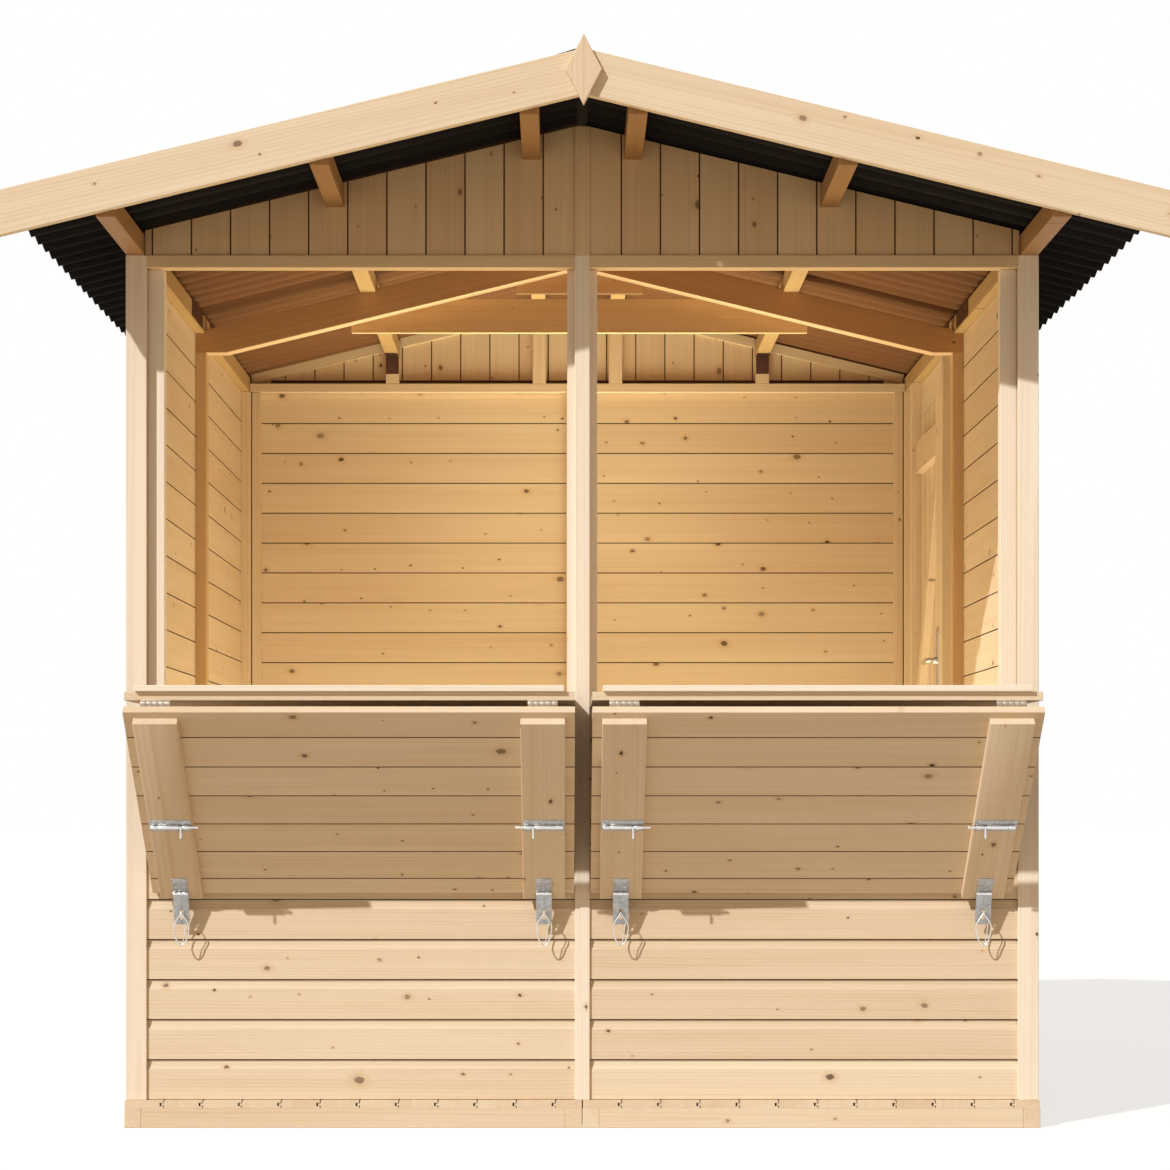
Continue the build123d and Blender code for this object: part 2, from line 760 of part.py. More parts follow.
with BuildPart() as door_hinge_pins:
    for height in hinge_heights:
        barrel_top = height - barrel_gap
        barrel_bottom = barrel_top - strap_height
        plate_y = (doorway_rear - pin_plate_reach, doorway_rear + pin_plate_length)
        timber((wall_x, wall_x + strap_thickness), plate_y, (barrel_bottom, barrel_top))
        with BuildSketch(Plane.XY.offset(barrel_bottom)):
            with Locations((axis_x, axis_y)):
                Circle(hinge_barrel_radius)
        extrude(amount=strap_height)
        with BuildSketch(Plane.XY.offset(barrel_bottom)):
            with Locations((axis_x, axis_y)):
                Circle(hinge_pin_radius)
        extrude(amount=2 * strap_height + barrel_gap)
finish(door_hinge_pins, "door_hinge_pins")

# Door handle: a long plate with a lever on each face
handle_y = (stile_y[0] + stile_y[1]) / 2
handle_z = floor_top + handle_rise
plate_z = handle_z - handle_plate_height * (0.5 - handle_plate_top_share)
with BuildPart() as door_handle:
    for face_x, outward in ((door_in_x, -1), (leaf_out_x, 1)):
        face = Plane(origin=(face_x, handle_y, 0), x_dir=(0, 1, 0), z_dir=(outward, 0, 0))
        up = outward
        with BuildSketch(face):
            with Locations((0, up * plate_z)):
                Rectangle(handle_plate_width, handle_plate_height)
        extrude(amount=handle_plate_thickness)
        with BuildSketch(face):
            with Locations((0, up * handle_z)):
                Circle(handle_neck_radius)
        extrude(amount=handle_neck_length)
        lever_end = handle_y - handle_neck_radius + handle_lever_length
        lever_back = face_x + outward * (handle_neck_length - handle_lever_thickness)
        lever_x = sorted((lever_back, face_x + outward * handle_neck_length))
        lever_z = (handle_z - handle_lever_height / 2, handle_z + handle_lever_height / 2)
        timber(lever_x, (handle_y - handle_neck_radius, lever_end), lever_z)
finish(door_handle, "door_handle")
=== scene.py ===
import logging
import math
import random
from dataclasses import dataclass
from enum import Enum
from typing import Iterable, Optional, Sequence

import bmesh
import bpy
from mathutils import Matrix, Vector


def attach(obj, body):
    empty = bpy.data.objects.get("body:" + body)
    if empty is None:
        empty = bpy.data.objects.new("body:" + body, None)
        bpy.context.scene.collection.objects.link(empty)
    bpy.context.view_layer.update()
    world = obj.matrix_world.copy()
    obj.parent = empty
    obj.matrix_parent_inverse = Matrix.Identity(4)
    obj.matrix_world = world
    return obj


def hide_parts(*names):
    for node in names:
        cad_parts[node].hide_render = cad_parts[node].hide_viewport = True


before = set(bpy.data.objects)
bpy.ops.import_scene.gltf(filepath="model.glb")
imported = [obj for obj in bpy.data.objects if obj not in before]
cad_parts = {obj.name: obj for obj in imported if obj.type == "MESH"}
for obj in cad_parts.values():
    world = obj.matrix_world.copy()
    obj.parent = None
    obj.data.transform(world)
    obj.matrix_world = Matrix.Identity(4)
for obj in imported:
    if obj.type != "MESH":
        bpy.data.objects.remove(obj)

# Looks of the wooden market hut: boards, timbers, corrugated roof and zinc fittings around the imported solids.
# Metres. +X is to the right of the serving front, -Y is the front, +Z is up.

LOG = logging.getLogger("market_hut")
MM = 0.001
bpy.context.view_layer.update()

Pair = tuple[float, float]
Triple = tuple[float, float, float]
Colour = Triple
Solid = bmesh.types.BMesh
Material = bpy.types.Material
Socket = bpy.types.NodeSocket
Feed = Socket | float | Sequence[float]


class Slot(Enum):
    """Names of material slots."""

    BOARD = "board_pine"
    FRAME = "frame_pine"
    ROOF = "bitumen_sheet"
    ZINC = "zinc"


class Body(Enum):
    """Bodies that pieces ride on."""

    HUT = "hut"
    DOOR = "door"


class BoardFace(Enum):
    """How a tongued board's outer face meets its neighbour."""

    COVED = "coved"
    PLAIN = "plain"


class Stock(Enum):
    """Kinds of timber in the yard."""

    BOARD = "board"
    TRIM = "trim"
    SILL = "sill"
    SHADE = "shade"
    FRAME = "frame"
    EAVES = "eaves"
    PURLIN = "purlin"


class Shader:
    """Node tree of one material, with short ways to add and link nodes."""

    def __init__(self, name: str) -> None:
        """Start an empty material.

        Args:
            name: Name of the material.
        """
        self.material = bpy.data.materials.new(name)
        self.material.use_nodes = True
        self.tree = self.material.node_tree
        self.surface = self.tree.nodes["Principled BSDF"]

    def node(self, kind: str, **options: object) -> bpy.types.Node:
        """Add a node and set its own options.

        Args:
            kind: Blender's type name of the node.
            **options: Attributes to set on it.

        Returns:
            The new node.
        """
        made = self.tree.nodes.new(kind)
        for key, value in options.items():
            setattr(made, key, value)
        return made

    def feed(self, socket: Socket, value: Feed) -> None:
        """Link a socket to another, or set it to a constant.

        Args:
            socket: The socket to fill.
            value: Another socket, a number or a colour.
        """
        if isinstance(value, Socket):
            self.tree.links.new(value, socket)
        elif isinstance(value, (tuple, list)) and len(value) == 3 and len(socket.default_value) == 4:
            socket.default_value = (*value, 1.0)
        else:
            socket.default_value = value

    def math(self, operation: str, first: Feed, second: Feed = 0.0, third: Feed = 0.0) -> Socket:
        """Add a Math node.

        Args:
            operation: Blender's name of the operation.
            first: First input, a socket or a number.
            second: Second input.
            third: Third input.

        Returns:
            The result's socket.
        """
        made = self.node("ShaderNodeMath", operation=operation)
        for socket, value in zip(made.inputs, (first, second, third)):
            self.feed(socket, value)
        return made.outputs[0]

    def blend(self, factor: Feed, first: Feed, second: Feed, how: str = "MIX") -> Socket:
        """Mix two colours.

        Args:
            factor: Share of the second colour.
            first: First colour, a socket or three numbers.
            second: Second colour.
            how: Blender's name of the blend.

        Returns:
            The mixed colour's socket.
        """
        made = self.node("ShaderNodeMix", data_type="RGBA", blend_type=how)
        self.feed(made.inputs[0], factor)
        self.feed(made.inputs[6], first)
        self.feed(made.inputs[7], second)
        return made.outputs[2]

    def step(self, value: Socket, low: float, high: float, start: float = 0.0, end: float = 1.0) -> Socket:
        """Map a value smoothly from one range to another.

        Args:
            value: The socket to map.
            low: Where the rise starts.
            high: Where it ends.
            start: Result at low.
            end: Result at high.

        Returns:
            The mapped value's socket.
        """
        made = self.node("ShaderNodeMapRange", interpolation_type="SMOOTHSTEP")
        for socket, given in zip(made.inputs, (value, low, high, start, end)):
            self.feed(socket, given)
        return made.outputs[0]

    @property
    def place(self) -> Socket:
        """Object coordinates."""
        return self.node("ShaderNodeTexCoord").outputs["Object"]

    def split(self, vector: Socket) -> Sequence[Socket]:
        """Take a vector apart.

        Args:
            vector: The vector's socket.

        Returns:
            Sockets of its X, Y and Z.
        """
        made = self.node("ShaderNodeSeparateXYZ")
        self.feed(made.inputs[0], vector)
        return made.outputs

    def length(self, vector: Socket) -> Socket:
        """Measure a vector.

        Args:
            vector: The vector's socket.

        Returns:
            Its length's socket.
        """
        made = self.node("ShaderNodeVectorMath", operation="LENGTH")
        self.feed(made.inputs[0], vector)
        return made.outputs["Value"]

    def underneath(self, full: float, none: float) -> Socket:
        """Tell undersides from other faces.

        Args:
            full: The normal's Z at and under which a face counts as an underside.
            none: The normal's Z from which it doesn't.

        Returns:
            Socket of the share, from 0 to 1.
        """
        facing = self.split(self.node("ShaderNodeNewGeometry").outputs["Normal"])
        return self.step(facing[2], full, none, 1.0, 0.0)

    def stretch(self, vector: Socket, scale: Sequence[float], shift: Sequence[float] = (0, 0, 0)) -> Socket:
        """Scale and shift coordinates.

        Args:
            vector: Coordinates' socket.
            scale: Scale along each direction.
            shift: Shift along each direction.

        Returns:
            The new coordinates' socket.
        """
        made = self.node("ShaderNodeVectorMath", operation="MULTIPLY_ADD")
        self.feed(made.inputs[0], vector)
        made.inputs[1].default_value = scale
        made.inputs[2].default_value = shift
        return made.outputs[0]

    def noise(self, vector: Socket, detail: float = 2.0, roughness: float = 0.5) -> Socket:
        """Noise on coordinates that are already stretched to its scale.

        Args:
            vector: Coordinates' socket.
            detail: Octaves.
            roughness: Strength of the finer octaves.

        Returns:
            The value's socket, from 0 to 1.
        """
        made = self.node("ShaderNodeTexNoise")
        self.feed(made.inputs["Vector"], vector)
        made.inputs["Scale"].default_value = 1.0
        made.inputs["Detail"].default_value = detail
        made.inputs["Roughness"].default_value = roughness
        return made.outputs[0]

    def bump(self, height: Socket, strength: float, distance: float) -> None:
        """Give the surface a bump.

        Args:
            height: Height's socket.
            strength: Strength of the bump.
            distance: Depth of the bump in metres.
        """
        made = self.node("ShaderNodeBump")
        made.inputs["Strength"].default_value = strength
        made.inputs["Distance"].default_value = distance
        self.feed(made.inputs["Height"], height)
        self.feed(self.surface.inputs["Normal"], made.outputs[0])

    def dress(self, **sockets: Feed) -> Material:
        """Feed the surface's sockets.

        Args:
            **sockets: Values by socket name, with underscores for spaces.

        Returns:
            The finished material.
        """
        for name, value in sockets.items():
            self.feed(self.surface.inputs[name.replace("_", " ")], value)
        return self.material


@dataclass(frozen=True)
class PineFinish:
    """Planed pine with growth rings, streaks and knots that follow each timber's own grain."""

    name: str
    pale: Colour
    amber: Colour
    knot: Colour = (0.075, 0.034, 0.014)
    halo: Colour = (0.56, 0.30, 0.12)
    ring_gap: float = 0.0066
    ring_strength: float = 0.30
    knot_cells: Pair = (7.6, 12.0)
    knot_share: float = 0.56
    # Painted shade in the joints between boards.
    joint_shade: Colour = (0.095, 0.030, 0.006)
    # Painted shade on the ends beyond the walls' line, under the overhang.
    overhang_shade: Colour = (1.0, 1.0, 1.0)
    wall_half: float = 0.950
    # Painted light on undersides, as if lit from below.
    underside_light: float = 0.0
    underside_light_colour: Colour = (0.90, 0.70, 0.46)

    def material(self) -> Material:
        """Build the pine material.

        Returns:
            The material, which reads the attributes grain, tone and joint.
        """
        s = Shader(self.name)
        grain = s.node("ShaderNodeAttribute", attribute_name="grain").outputs["Vector"]
        tone = s.node("ShaderNodeAttribute", attribute_name="tone").outputs["Fac"]
        core, halo, swell, present = self._knots(s, grain)
        late = self._rings(s, grain, swell)
        streak = s.noise(s.stretch(grain, (1.3, 44.0, 44.0)), 3.0, 0.62)
        drift = s.noise(s.stretch(grain, (0.9, 7.0, 7.0), (3.0, 5.0, 7.0)), 2.0)
        fibre = s.noise(s.stretch(grain, (22.0, 640.0, 640.0)), 2.0)

        warm = s.math("MULTIPLY_ADD", s.math("SUBTRACT", streak, 0.5), 0.60, 0.26)
        warm = s.math("MULTIPLY_ADD", s.math("SUBTRACT", drift, 0.5), 0.55, warm)
        warm = s.math("MULTIPLY_ADD", late, self.ring_strength, warm)
        warm = s.math("MULTIPLY_ADD", s.math("SUBTRACT", fibre, 0.5), 0.16, warm)
        wood = s.blend(s.step(warm, -0.15, 1.1), self.pale, self.amber)

        shade = s.node("ShaderNodeHueSaturation")
        s.feed(shade.inputs["Hue"], s.math("MULTIPLY_ADD", tone, 0.006, 0.497))
        s.feed(shade.inputs["Saturation"], s.math("MULTIPLY_ADD", tone, -0.08, 1.04))
        s.feed(shade.inputs["Value"], s.math("MULTIPLY_ADD", tone, 0.07, 0.96))
        s.feed(shade.inputs["Color"], wood)
        wood = s.blend(s.math("MULTIPLY", halo, s.math("MULTIPLY", present, 0.30)), shade.outputs[0], self.halo)
        wood = s.blend(s.math("MULTIPLY", core, present), wood, self.knot)
        wood = self._paint_shade_and_light(s, wood)

        height = s.math("MULTIPLY_ADD", late, 0.5, fibre)
        s.bump(s.math("MULTIPLY_ADD", core, -0.6, height), 0.22, 0.0007)
        roughness = s.math("MULTIPLY_ADD", streak, 0.18, 0.52)
        return s.dress(Base_Color=wood, Roughness=roughness, Specular_IOR_Level=0.32)

    def _paint_shade_and_light(self, s: Shader, wood: Socket) -> Socket:
        """Paint shade into the joints and onto the ends beyond the walls, and paint light onto undersides.

        Args:
            s: The material in the making.
            wood: Colour of the bare wood.

        Returns:
            Socket of the colour in use.
        """
        # Painted shade: ends beyond the walls' line are multiplied by the overhang colour.
        depth = s.math("ABSOLUTE", s.split(s.place)[1])
        overhang_share = s.step(depth, self.wall_half - 0.008, self.wall_half + 0.008)
        wood = s.blend(overhang_share, wood, self.overhang_shade, "MULTIPLY")
        # Painted light: undersides turn towards a lighter colour.
        under = s.math("MULTIPLY", s.underneath(-0.90, -0.60), self.underside_light)
        wood = s.blend(under, wood, self.underside_light_colour)
        # Painted shade: faces marked as lying in a joint take the dark joint colour.
        joint = s.node("ShaderNodeAttribute", attribute_name="joint").outputs["Fac"]
        return s.blend(joint, wood, self.joint_shade)

    def _knots(self, s: Shader, grain: Socket) -> tuple[Socket, Socket, Socket, Socket]:
        """Scatter round knots, each with a size of its own.

        Args:
            s: The material in the making.
            grain: Grain coordinates' socket.

        Returns:
            Sockets of the knot itself, its halo, the rings' swelling round it, and its presence.
        """
        cells = s.stretch(grain, (*self.knot_cells, 0.0))
        spots = s.node("ShaderNodeTexVoronoi", voronoi_dimensions="2D")
        s.feed(spots.inputs["Vector"], cells)
        spots.inputs["Scale"].default_value = 1.0
        spots.inputs["Randomness"].default_value = 0.95
        away = s.node("ShaderNodeVectorMath", operation="SUBTRACT")
        s.feed(away.inputs[0], cells)
        s.feed(away.inputs[1], spots.outputs["Position"])
        cell_along, cell_across = self.knot_cells
        reach = s.length(s.stretch(away.outputs[0], (0.72 / cell_along, 1.0 / cell_across, 0.0)))
        chance = s.node("ShaderNodeSeparateColor")
        s.feed(chance.inputs[0], spots.outputs["Color"])
        size = s.math("POWER", chance.outputs[0], 4.5)
        radius = s.math("MULTIPLY_ADD", size, 0.0066, 0.0019)
        wobble = s.noise(s.stretch(grain, (170.0, 240.0, 240.0)), 2.0)
        edge = s.math("MULTIPLY_ADD", s.math("SUBTRACT", wobble, 0.5), 0.0060, reach)
        edge = s.math("DIVIDE", edge, radius)
        present = s.math("LESS_THAN", chance.outputs[1], self.knot_share)
        depth = s.math("MULTIPLY_ADD", chance.outputs[2], 0.45, 0.52)
        core = s.math("MULTIPLY", s.step(edge, 0.70, 1.12, 1.0, 0.0), depth)
        halo = s.step(edge, 0.9, 3.0, 1.0, 0.0)
        swell = s.math("MULTIPLY", s.math("MULTIPLY", halo, present), radius)
        return core, halo, swell, present

    def _rings(self, s: Shader, grain: Socket, swell: Socket) -> Socket:
        """Growth rings round a pith that lies off each timber.

        Args:
            s: The material in the making.
            grain: Grain coordinates' socket.
            swell: Swelling of the rings round knots.

        Returns:
            Socket of the late wood's strength, from 0 to 1.
        """
        warp = s.noise(s.stretch(grain, (0.8, 8.0, 8.0)), 2.0)
        radius = s.length(s.stretch(grain, (0.0, 1.0, 1.0)))
        bent = s.math("MULTIPLY_ADD", warp, 0.020, radius)
        bent = s.math("MULTIPLY_ADD", swell, 1.3, bent)
        bent = s.math("MULTIPLY_ADD", s.split(grain)[0], 0.004, bent)
        phase = s.math("DIVIDE", bent, self.ring_gap)
        ring = s.math("FRACT", phase)
        year = s.node("ShaderNodeTexWhiteNoise", noise_dimensions="1D")
        s.feed(year.inputs["W"], s.math("FLOOR", phase))
        late = s.math("MULTIPLY", s.step(ring, 0.25, 0.86), s.step(ring, 0.90, 1.0, 1.0, 0.0))
        return s.math("MULTIPLY", late, s.math("MULTIPLY_ADD", year.outputs["Value"], 0.75, 0.25))


@dataclass(frozen=True)
class BitumenFinish:
    """Dark corrugated bitumen sheet with painted shade on its undersides, brown underneath inside the line of the
    walls.
    """

    name: str
    dark: Colour = (0.0100, 0.0060, 0.0040)
    worn: Colour = (0.0240, 0.0165, 0.0125)
    under_roof: Colour = (0.225, 0.104, 0.047)
    room_half: Pair = (0.985, 1.0325)
    room_middle: float = 0.0975

    def material(self) -> Material:
        """Build the sheet material.

        Returns:
            The material, on Object coordinates.
        """
        s = Shader(self.name)
        place = s.place
        patch = s.noise(s.stretch(place, (2.2, 5.0, 2.2)), 4.0, 0.6)
        streak = s.noise(s.stretch(place, (1.6, 60.0, 1.6)), 2.0)
        grit = s.noise(s.stretch(place, (520.0, 520.0, 520.0)), 2.0, 0.7)
        wear = s.math("MULTIPLY_ADD", streak, 0.5, s.math("MULTIPLY", patch, 0.6))
        wear = s.math("MULTIPLY_ADD", s.math("SUBTRACT", grit, 0.5), 0.35, wear)
        skin = s.blend(s.step(wear, 0.35, 0.95), self.dark, self.worn)
        # Painted shade: undersides darken towards 0.45 of the dark colour.
        under = s.underneath(-0.10, 0.10)
        skin = s.blend(s.math("MULTIPLY", under, 0.75), skin, tuple(0.45 * c for c in self.dark))
        inside = under
        across, depth, _ = s.split(place)
        depth = s.math("SUBTRACT", depth, self.room_middle)
        for value, half in zip((across, depth), self.room_half):
            within = s.step(s.math("ABSOLUTE", value), half - 0.02, half + 0.01, 1.0, 0.0)
            inside = s.math("MULTIPLY", inside, within)
        lining = s.blend(s.math("MULTIPLY_ADD", streak, 0.5, s.math("MULTIPLY", grit, 0.3)), self.under_roof,
                         tuple(0.72 * c for c in self.under_roof))
        skin = s.blend(inside, skin, lining)
        s.bump(grit, 0.35, 0.0012)
        roughness = s.math("MULTIPLY_ADD", patch, 0.2, 0.66)
        return s.dress(Base_Color=skin, Roughness=roughness, Specular_IOR_Level=0.12)


@dataclass(frozen=True)
class ZincFinish:
    """Zinc-plated steel with a faint mottle and fine rubbing marks."""

    name: str
    bright: Colour = (0.43, 0.415, 0.39)
    dull: Colour = (0.30, 0.29, 0.278)
    rough: float = 0.42

    def material(self) -> Material:
        """Build the zinc material.

        Returns:
            The material, on Object coordinates.
        """
        s = Shader(self.name)
        place = s.place
        mottle = s.noise(s.stretch(place, (95.0, 95.0, 95.0)), 3.0, 0.6)
        marks = s.noise(s.stretch(place, (60.0, 900.0, 900.0)), 2.0)
        skin = s.blend(s.step(mottle, 0.35, 0.75), self.bright, self.dull)
        s.bump(marks, 0.06, 0.0003)
        roughness = s.math("MULTIPLY_ADD", mottle, 0.22, self.rough - 0.08)
        return s.dress(Base_Color=skin, Metallic=1.0, Roughness=roughness)


@dataclass(frozen=True)
class ShadowFinish:
    """Dark inside keyholes and gaps."""

    name: str
    black: Colour = (0.008, 0.007, 0.006)

    def material(self) -> Material:
        """Build the material with a faint dusty mottle.

        Returns:
            The material, on Object coordinates.
        """
        s = Shader(self.name)
        place = s.place
        dust = s.noise(s.stretch(place, (220.0, 220.0, 220.0)), 2.0)
        colour = s.blend(dust, self.black, tuple(2.5 * c for c in self.black))
        return s.dress(Base_Color=colour, Roughness=0.8)


class Finishes:
    """All materials of the hut, made once."""

    def __init__(self) -> None:
        """Build each finish's material."""
        board = (0.810, 0.655, 0.470), (0.640, 0.445, 0.250)
        # Darker, more saturated pine, which paints shade onto the front gable's boards, the header and the gable
        # trims.
        shade = (0.770, 0.550, 0.320), (0.600, 0.370, 0.165)
        rough = {"ring_gap": 0.0054, "knot_cells": (3.6, 10.0), "knot_share": 0.4}
        self.boards = PineFinish("planed_board_pine", *board).material()
        # The flaps' joints take a lighter painted shade.
        self.flaps = PineFinish("planed_flap_pine", *board, joint_shade=(0.240, 0.135, 0.060)).material()
        self.under_roof = PineFinish("shaded_board_pine", *shade).material()
        self.header = PineFinish("shaded_header_pine", *shade, knot_cells=(4.4, 10.0), knot_share=0.30).material()
        self.trims = PineFinish("planed_trim_pine", (0.925, 0.795, 0.640), (0.800, 0.630, 0.450),
                                knot_share=0.20).material()
        self.studs = PineFinish("planed_stud_pine", *board, knot_cells=(3.6, 10.0), knot_share=0.22).material()
        # Painted light on the undersides of the rafters, ridge gusset, truss posts and collar tie.
        self.frame = PineFinish("planed_frame_pine", (0.560, 0.325, 0.160), (0.430, 0.215, 0.080), underside_light=0.60,
                                **rough).material()
        self.eaves = PineFinish("planed_collar_pine", (0.680, 0.450, 0.235), (0.520, 0.300, 0.125), underside_light=0.45,
                                **rough).material()
        # Painted shade on the purlins' ends beyond the walls.
        self.purlins = PineFinish("planed_purlin_pine", (0.562, 0.378, 0.180), (0.430, 0.252, 0.098),
                                  overhang_shade=(0.667, 0.515, 0.388), **rough).material()
        self.roof = BitumenFinish("bitumen_sheet").material()
        self.cap = BitumenFinish("bitumen_cap", under_roof=(0.0100, 0.0060, 0.0040)).material()
        self.zinc = ZincFinish("zinc_plate").material()
        self.warm = ZincFinish("warm_zinc", (0.50, 0.42, 0.34), (0.40, 0.33, 0.265), 0.50).material()
        self.polished = ZincFinish("polished_zinc", (0.80, 0.79, 0.77), (0.68, 0.67, 0.66), 0.20).material()
        # A brown tint that paints a reflection of the roof underside onto the steel brackets.
        self.painted_reflection_zinc = ZincFinish("plate_with_painted_roof_reflection", (0.17, 0.092, 0.070), (0.13, 0.070, 0.055), 0.45).material()
        self.shadow = ShadowFinish("slot_shadow").material()
        self.seams = ShadowFinish("seam_shadow", (0.050, 0.024, 0.010)).material()

    def timber(self, stock: Stock) -> Material:
        """Material of a kind of timber."""
        return {Stock.BOARD: self.boards, Stock.TRIM: self.trims, Stock.SHADE: self.header, Stock.SILL: self.studs,
                Stock.FRAME: self.frame, Stock.EAVES: self.eaves, Stock.PURLIN: self.purlins}[stock]


class Workpiece:
    """One piece in the making: parts shaped in their own grain frame and set into place."""

    def __init__(self, name: str, seed: int) -> None:
        """Start an empty piece.

        Args:
            name: Name of the piece.
            seed: Seed of its random draws.
        """
        self.name = name
        self.rng = random.Random(seed)
        self.whole = bmesh.new()
        self._layers(self.whole)

    @staticmethod
    def _layers(bm: Solid) -> tuple[bmesh.types.BMLayerItem, bmesh.types.BMLayerItem]:
        """Make sure that a part has the grain, tone and joint layers.

        Args:
            bm: The part.

        Returns:
            Its grain and tone layers.
        """
        if not bm.faces.layers.float.get("joint"):
            bm.faces.layers.float.new("joint")
        vectors = bm.verts.layers.float_vector
        floats = bm.verts.layers.float
        grain = vectors.get("grain") or vectors.new("grain")
        tone = floats.get("tone") or floats.new("tone")
        return grain, tone

    def add(self, part: Solid, place: Matrix = Matrix.Identity(4),
            grain_frame: Optional[Matrix] = None) -> None:
        """Set a part into the piece with grain of its own.

        Args:
            part: The part, which is used up.
            place: From the part's frame to the hut's.
            grain_frame: The grain's frame in the part's frame, if it isn't the part's own.
        """
        grain, tone = self._layers(part)
        shift = Vector((self.rng.uniform(0, 40), self.rng.uniform(-0.06, 0.06), self.rng.uniform(0.012, 0.085)))
        shade = self.rng.random()
        turn = grain_frame.inverted() if grain_frame else Matrix.Identity(4)
        for vert in part.verts:
            vert[grain] = turn @ vert.co + shift
            vert[tone] = shade
        bmesh.ops.transform(part, matrix=place, verts=part.verts)
        bmesh.ops.recalc_face_normals(part, faces=part.faces)
        store = bpy.data.meshes.new("part")
        part.to_mesh(store)
        part.free()
        self.whole.from_mesh(store)
        bpy.data.meshes.remove(store)

    def finish(self, material: Material, body: Body, nodes: Iterable[str] = (),
               smooth: Optional[float] = None) -> None:
        """Turn the piece into an object that rides its body and stands for its CAD nodes.

        Args:
            material: Its material.
            body: The body it rides on.
            nodes: CAD nodes it stands for.
            smooth: Angle in degrees under which edges are shaded smooth, if any are.
        """
        mesh = bpy.data.meshes.new(self.name)
        self.whole.to_mesh(mesh)
        self.whole.free()
        mesh.materials.append(material)
        if smooth is not None:
            mesh.shade_smooth()
            mesh.set_sharp_from_angle(angle=math.radians(smooth))
        made = bpy.data.objects.new(self.name, mesh)
        bpy.context.scene.collection.objects.link(made)
        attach(made, body.value)
        stands_for = list(nodes)
        if stands_for:
            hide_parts(*stands_for)
        LOG.info("%s: %d faces, rides %s", self.name, len(mesh.polygons), body.value)


def frame_matrix(origin: Sequence[float], along: Sequence[float], across: Sequence[float]) -> Matrix:
    """Frame with its first two axes given and the third square to them.

    Args:
        origin: Place of the frame.
        along: Direction of its X axis.
        across: Direction of its Y axis.

    Returns:
        The matrix from that frame to the hut's.
    """
    first = Vector(along).normalized()
    second = Vector(across).normalized()
    third = first.cross(second)
    turn = Matrix((first, second, third)).transposed().to_4x4()
    return Matrix.Translation(Vector(origin)) @ turn


def round_edges(bm: Solid, edges: Sequence[bmesh.types.BMEdge], offset: float, segments: int) -> None:
    """Round some edges of a part.

    Args:
        bm: The part.
        edges: The edges to round.
        offset: Width of the rounding in metres.
        segments: Faces across the rounding.
    """
    bmesh.ops.bevel(bm, geom=edges, offset=offset, offset_type="OFFSET", segments=segments, profile=0.5,
                    affect="EDGES", clamp_overlap=True, material=-1)


def ease_edges(bm: Solid, offset: float, angle: float = 25.0) -> None:
    """Round the sharp edges of a part.

    Args:
        bm: The part.
        offset: Width of the rounding in metres.
        angle: Edges sharper than this, in degrees, are rounded.
    """
    sharp = [e for e in bm.edges if e.is_manifold and e.calc_face_angle(0.0) > math.radians(angle)]
    round_edges(bm, sharp, offset, 2)


def arc(centre: Pair, radius: float, start: float, end: float,
        steps: int) -> list[Pair]:
    """Points along an arc.

    Args:
        centre: Its centre.
        radius: Its radius.
        start: Angle of its first point, in half turns.
        end: Angle of its last point, in half turns.
        steps: Number of equal steps between them.

    Returns:
        The points in order, both ends included.
    """
    angles = [math.pi * (start + (end - start) * step / steps) for step in range(steps + 1)]
    return [(centre[0] + radius * math.cos(a), centre[1] + radius * math.sin(a)) for a in angles]


def prism(corners: Sequence[Sequence[float]], reach: Sequence[float]) -> Solid:
    """Solid from a flat outline that is drawn out in a straight line.

    Args:
        corners: Corners of the outline in order.
        reach: How far it is drawn out along each axis.

    Returns:
        The solid.
    """
    bm = bmesh.new()
    face = bm.faces.new([bm.verts.new(corner) for corner in corners])
    raised = bmesh.ops.extrude_face_region(bm, geom=[face])["geom"]
    moved = [g for g in raised if isinstance(g, bmesh.types.BMVert)]
    bmesh.ops.translate(bm, verts=moved, vec=reach)
    return bm


def bar(size: Sequence[float], ease: float = 0.0, centre: Sequence[float] = (0, 0, 0)) -> Solid:
    """Straight bar with eased edges.

    Args:
        size: Its length along each axis.
        ease: Width of the edges' rounding.
        centre: Its centre.

    Returns:
        The bar.
    """
    bm = bmesh.new()
    bmesh.ops.create_cube(bm, size=1.0, matrix=Matrix.Translation(Vector(centre)) @ Matrix.Diagonal((*size, 1.0)))
    if ease:
        ease_edges(bm, ease)
    return bm


def rod(radius: float, length: float, ease: float = 0.0, segments: int = 24,
        tip: Optional[float] = None) -> Solid:
    """Round rod along Z, from zero up.

    Args:
        radius: Its radius at the foot.
        length: Its length.
        ease: Width of the rounding of its ends.
        segments: Faces round it.
        tip: Its radius at the top, where that differs.

    Returns:
        The rod.
    """
    bm = bmesh.new()
    bmesh.ops.create_cone(bm, cap_ends=True, segments=segments, radius1=radius,
                          radius2=radius if tip is None else tip, depth=length,
                          matrix=Matrix.Translation((0, 0, length / 2)))
    if ease:
        ease_edges(bm, ease, 50.0)
    return bm


def outline_plate(points: Sequence[Pair], thickness: float, ease: float) -> Solid:
    """Flat plate from an outline in X and Y, as thick as given along Z.

    Args:
        points: Corners of the outline in order.
        thickness: Its thickness, from zero up.
        ease: Width of the edges' rounding.

    Returns:
        The plate.
    """
    bm = prism([(x, y, 0.0) for x, y in points], (0.0, 0.0, thickness))
    bmesh.ops.recalc_face_normals(bm, faces=bm.faces)
    ease_edges(bm, ease, 40.0)
    return bm


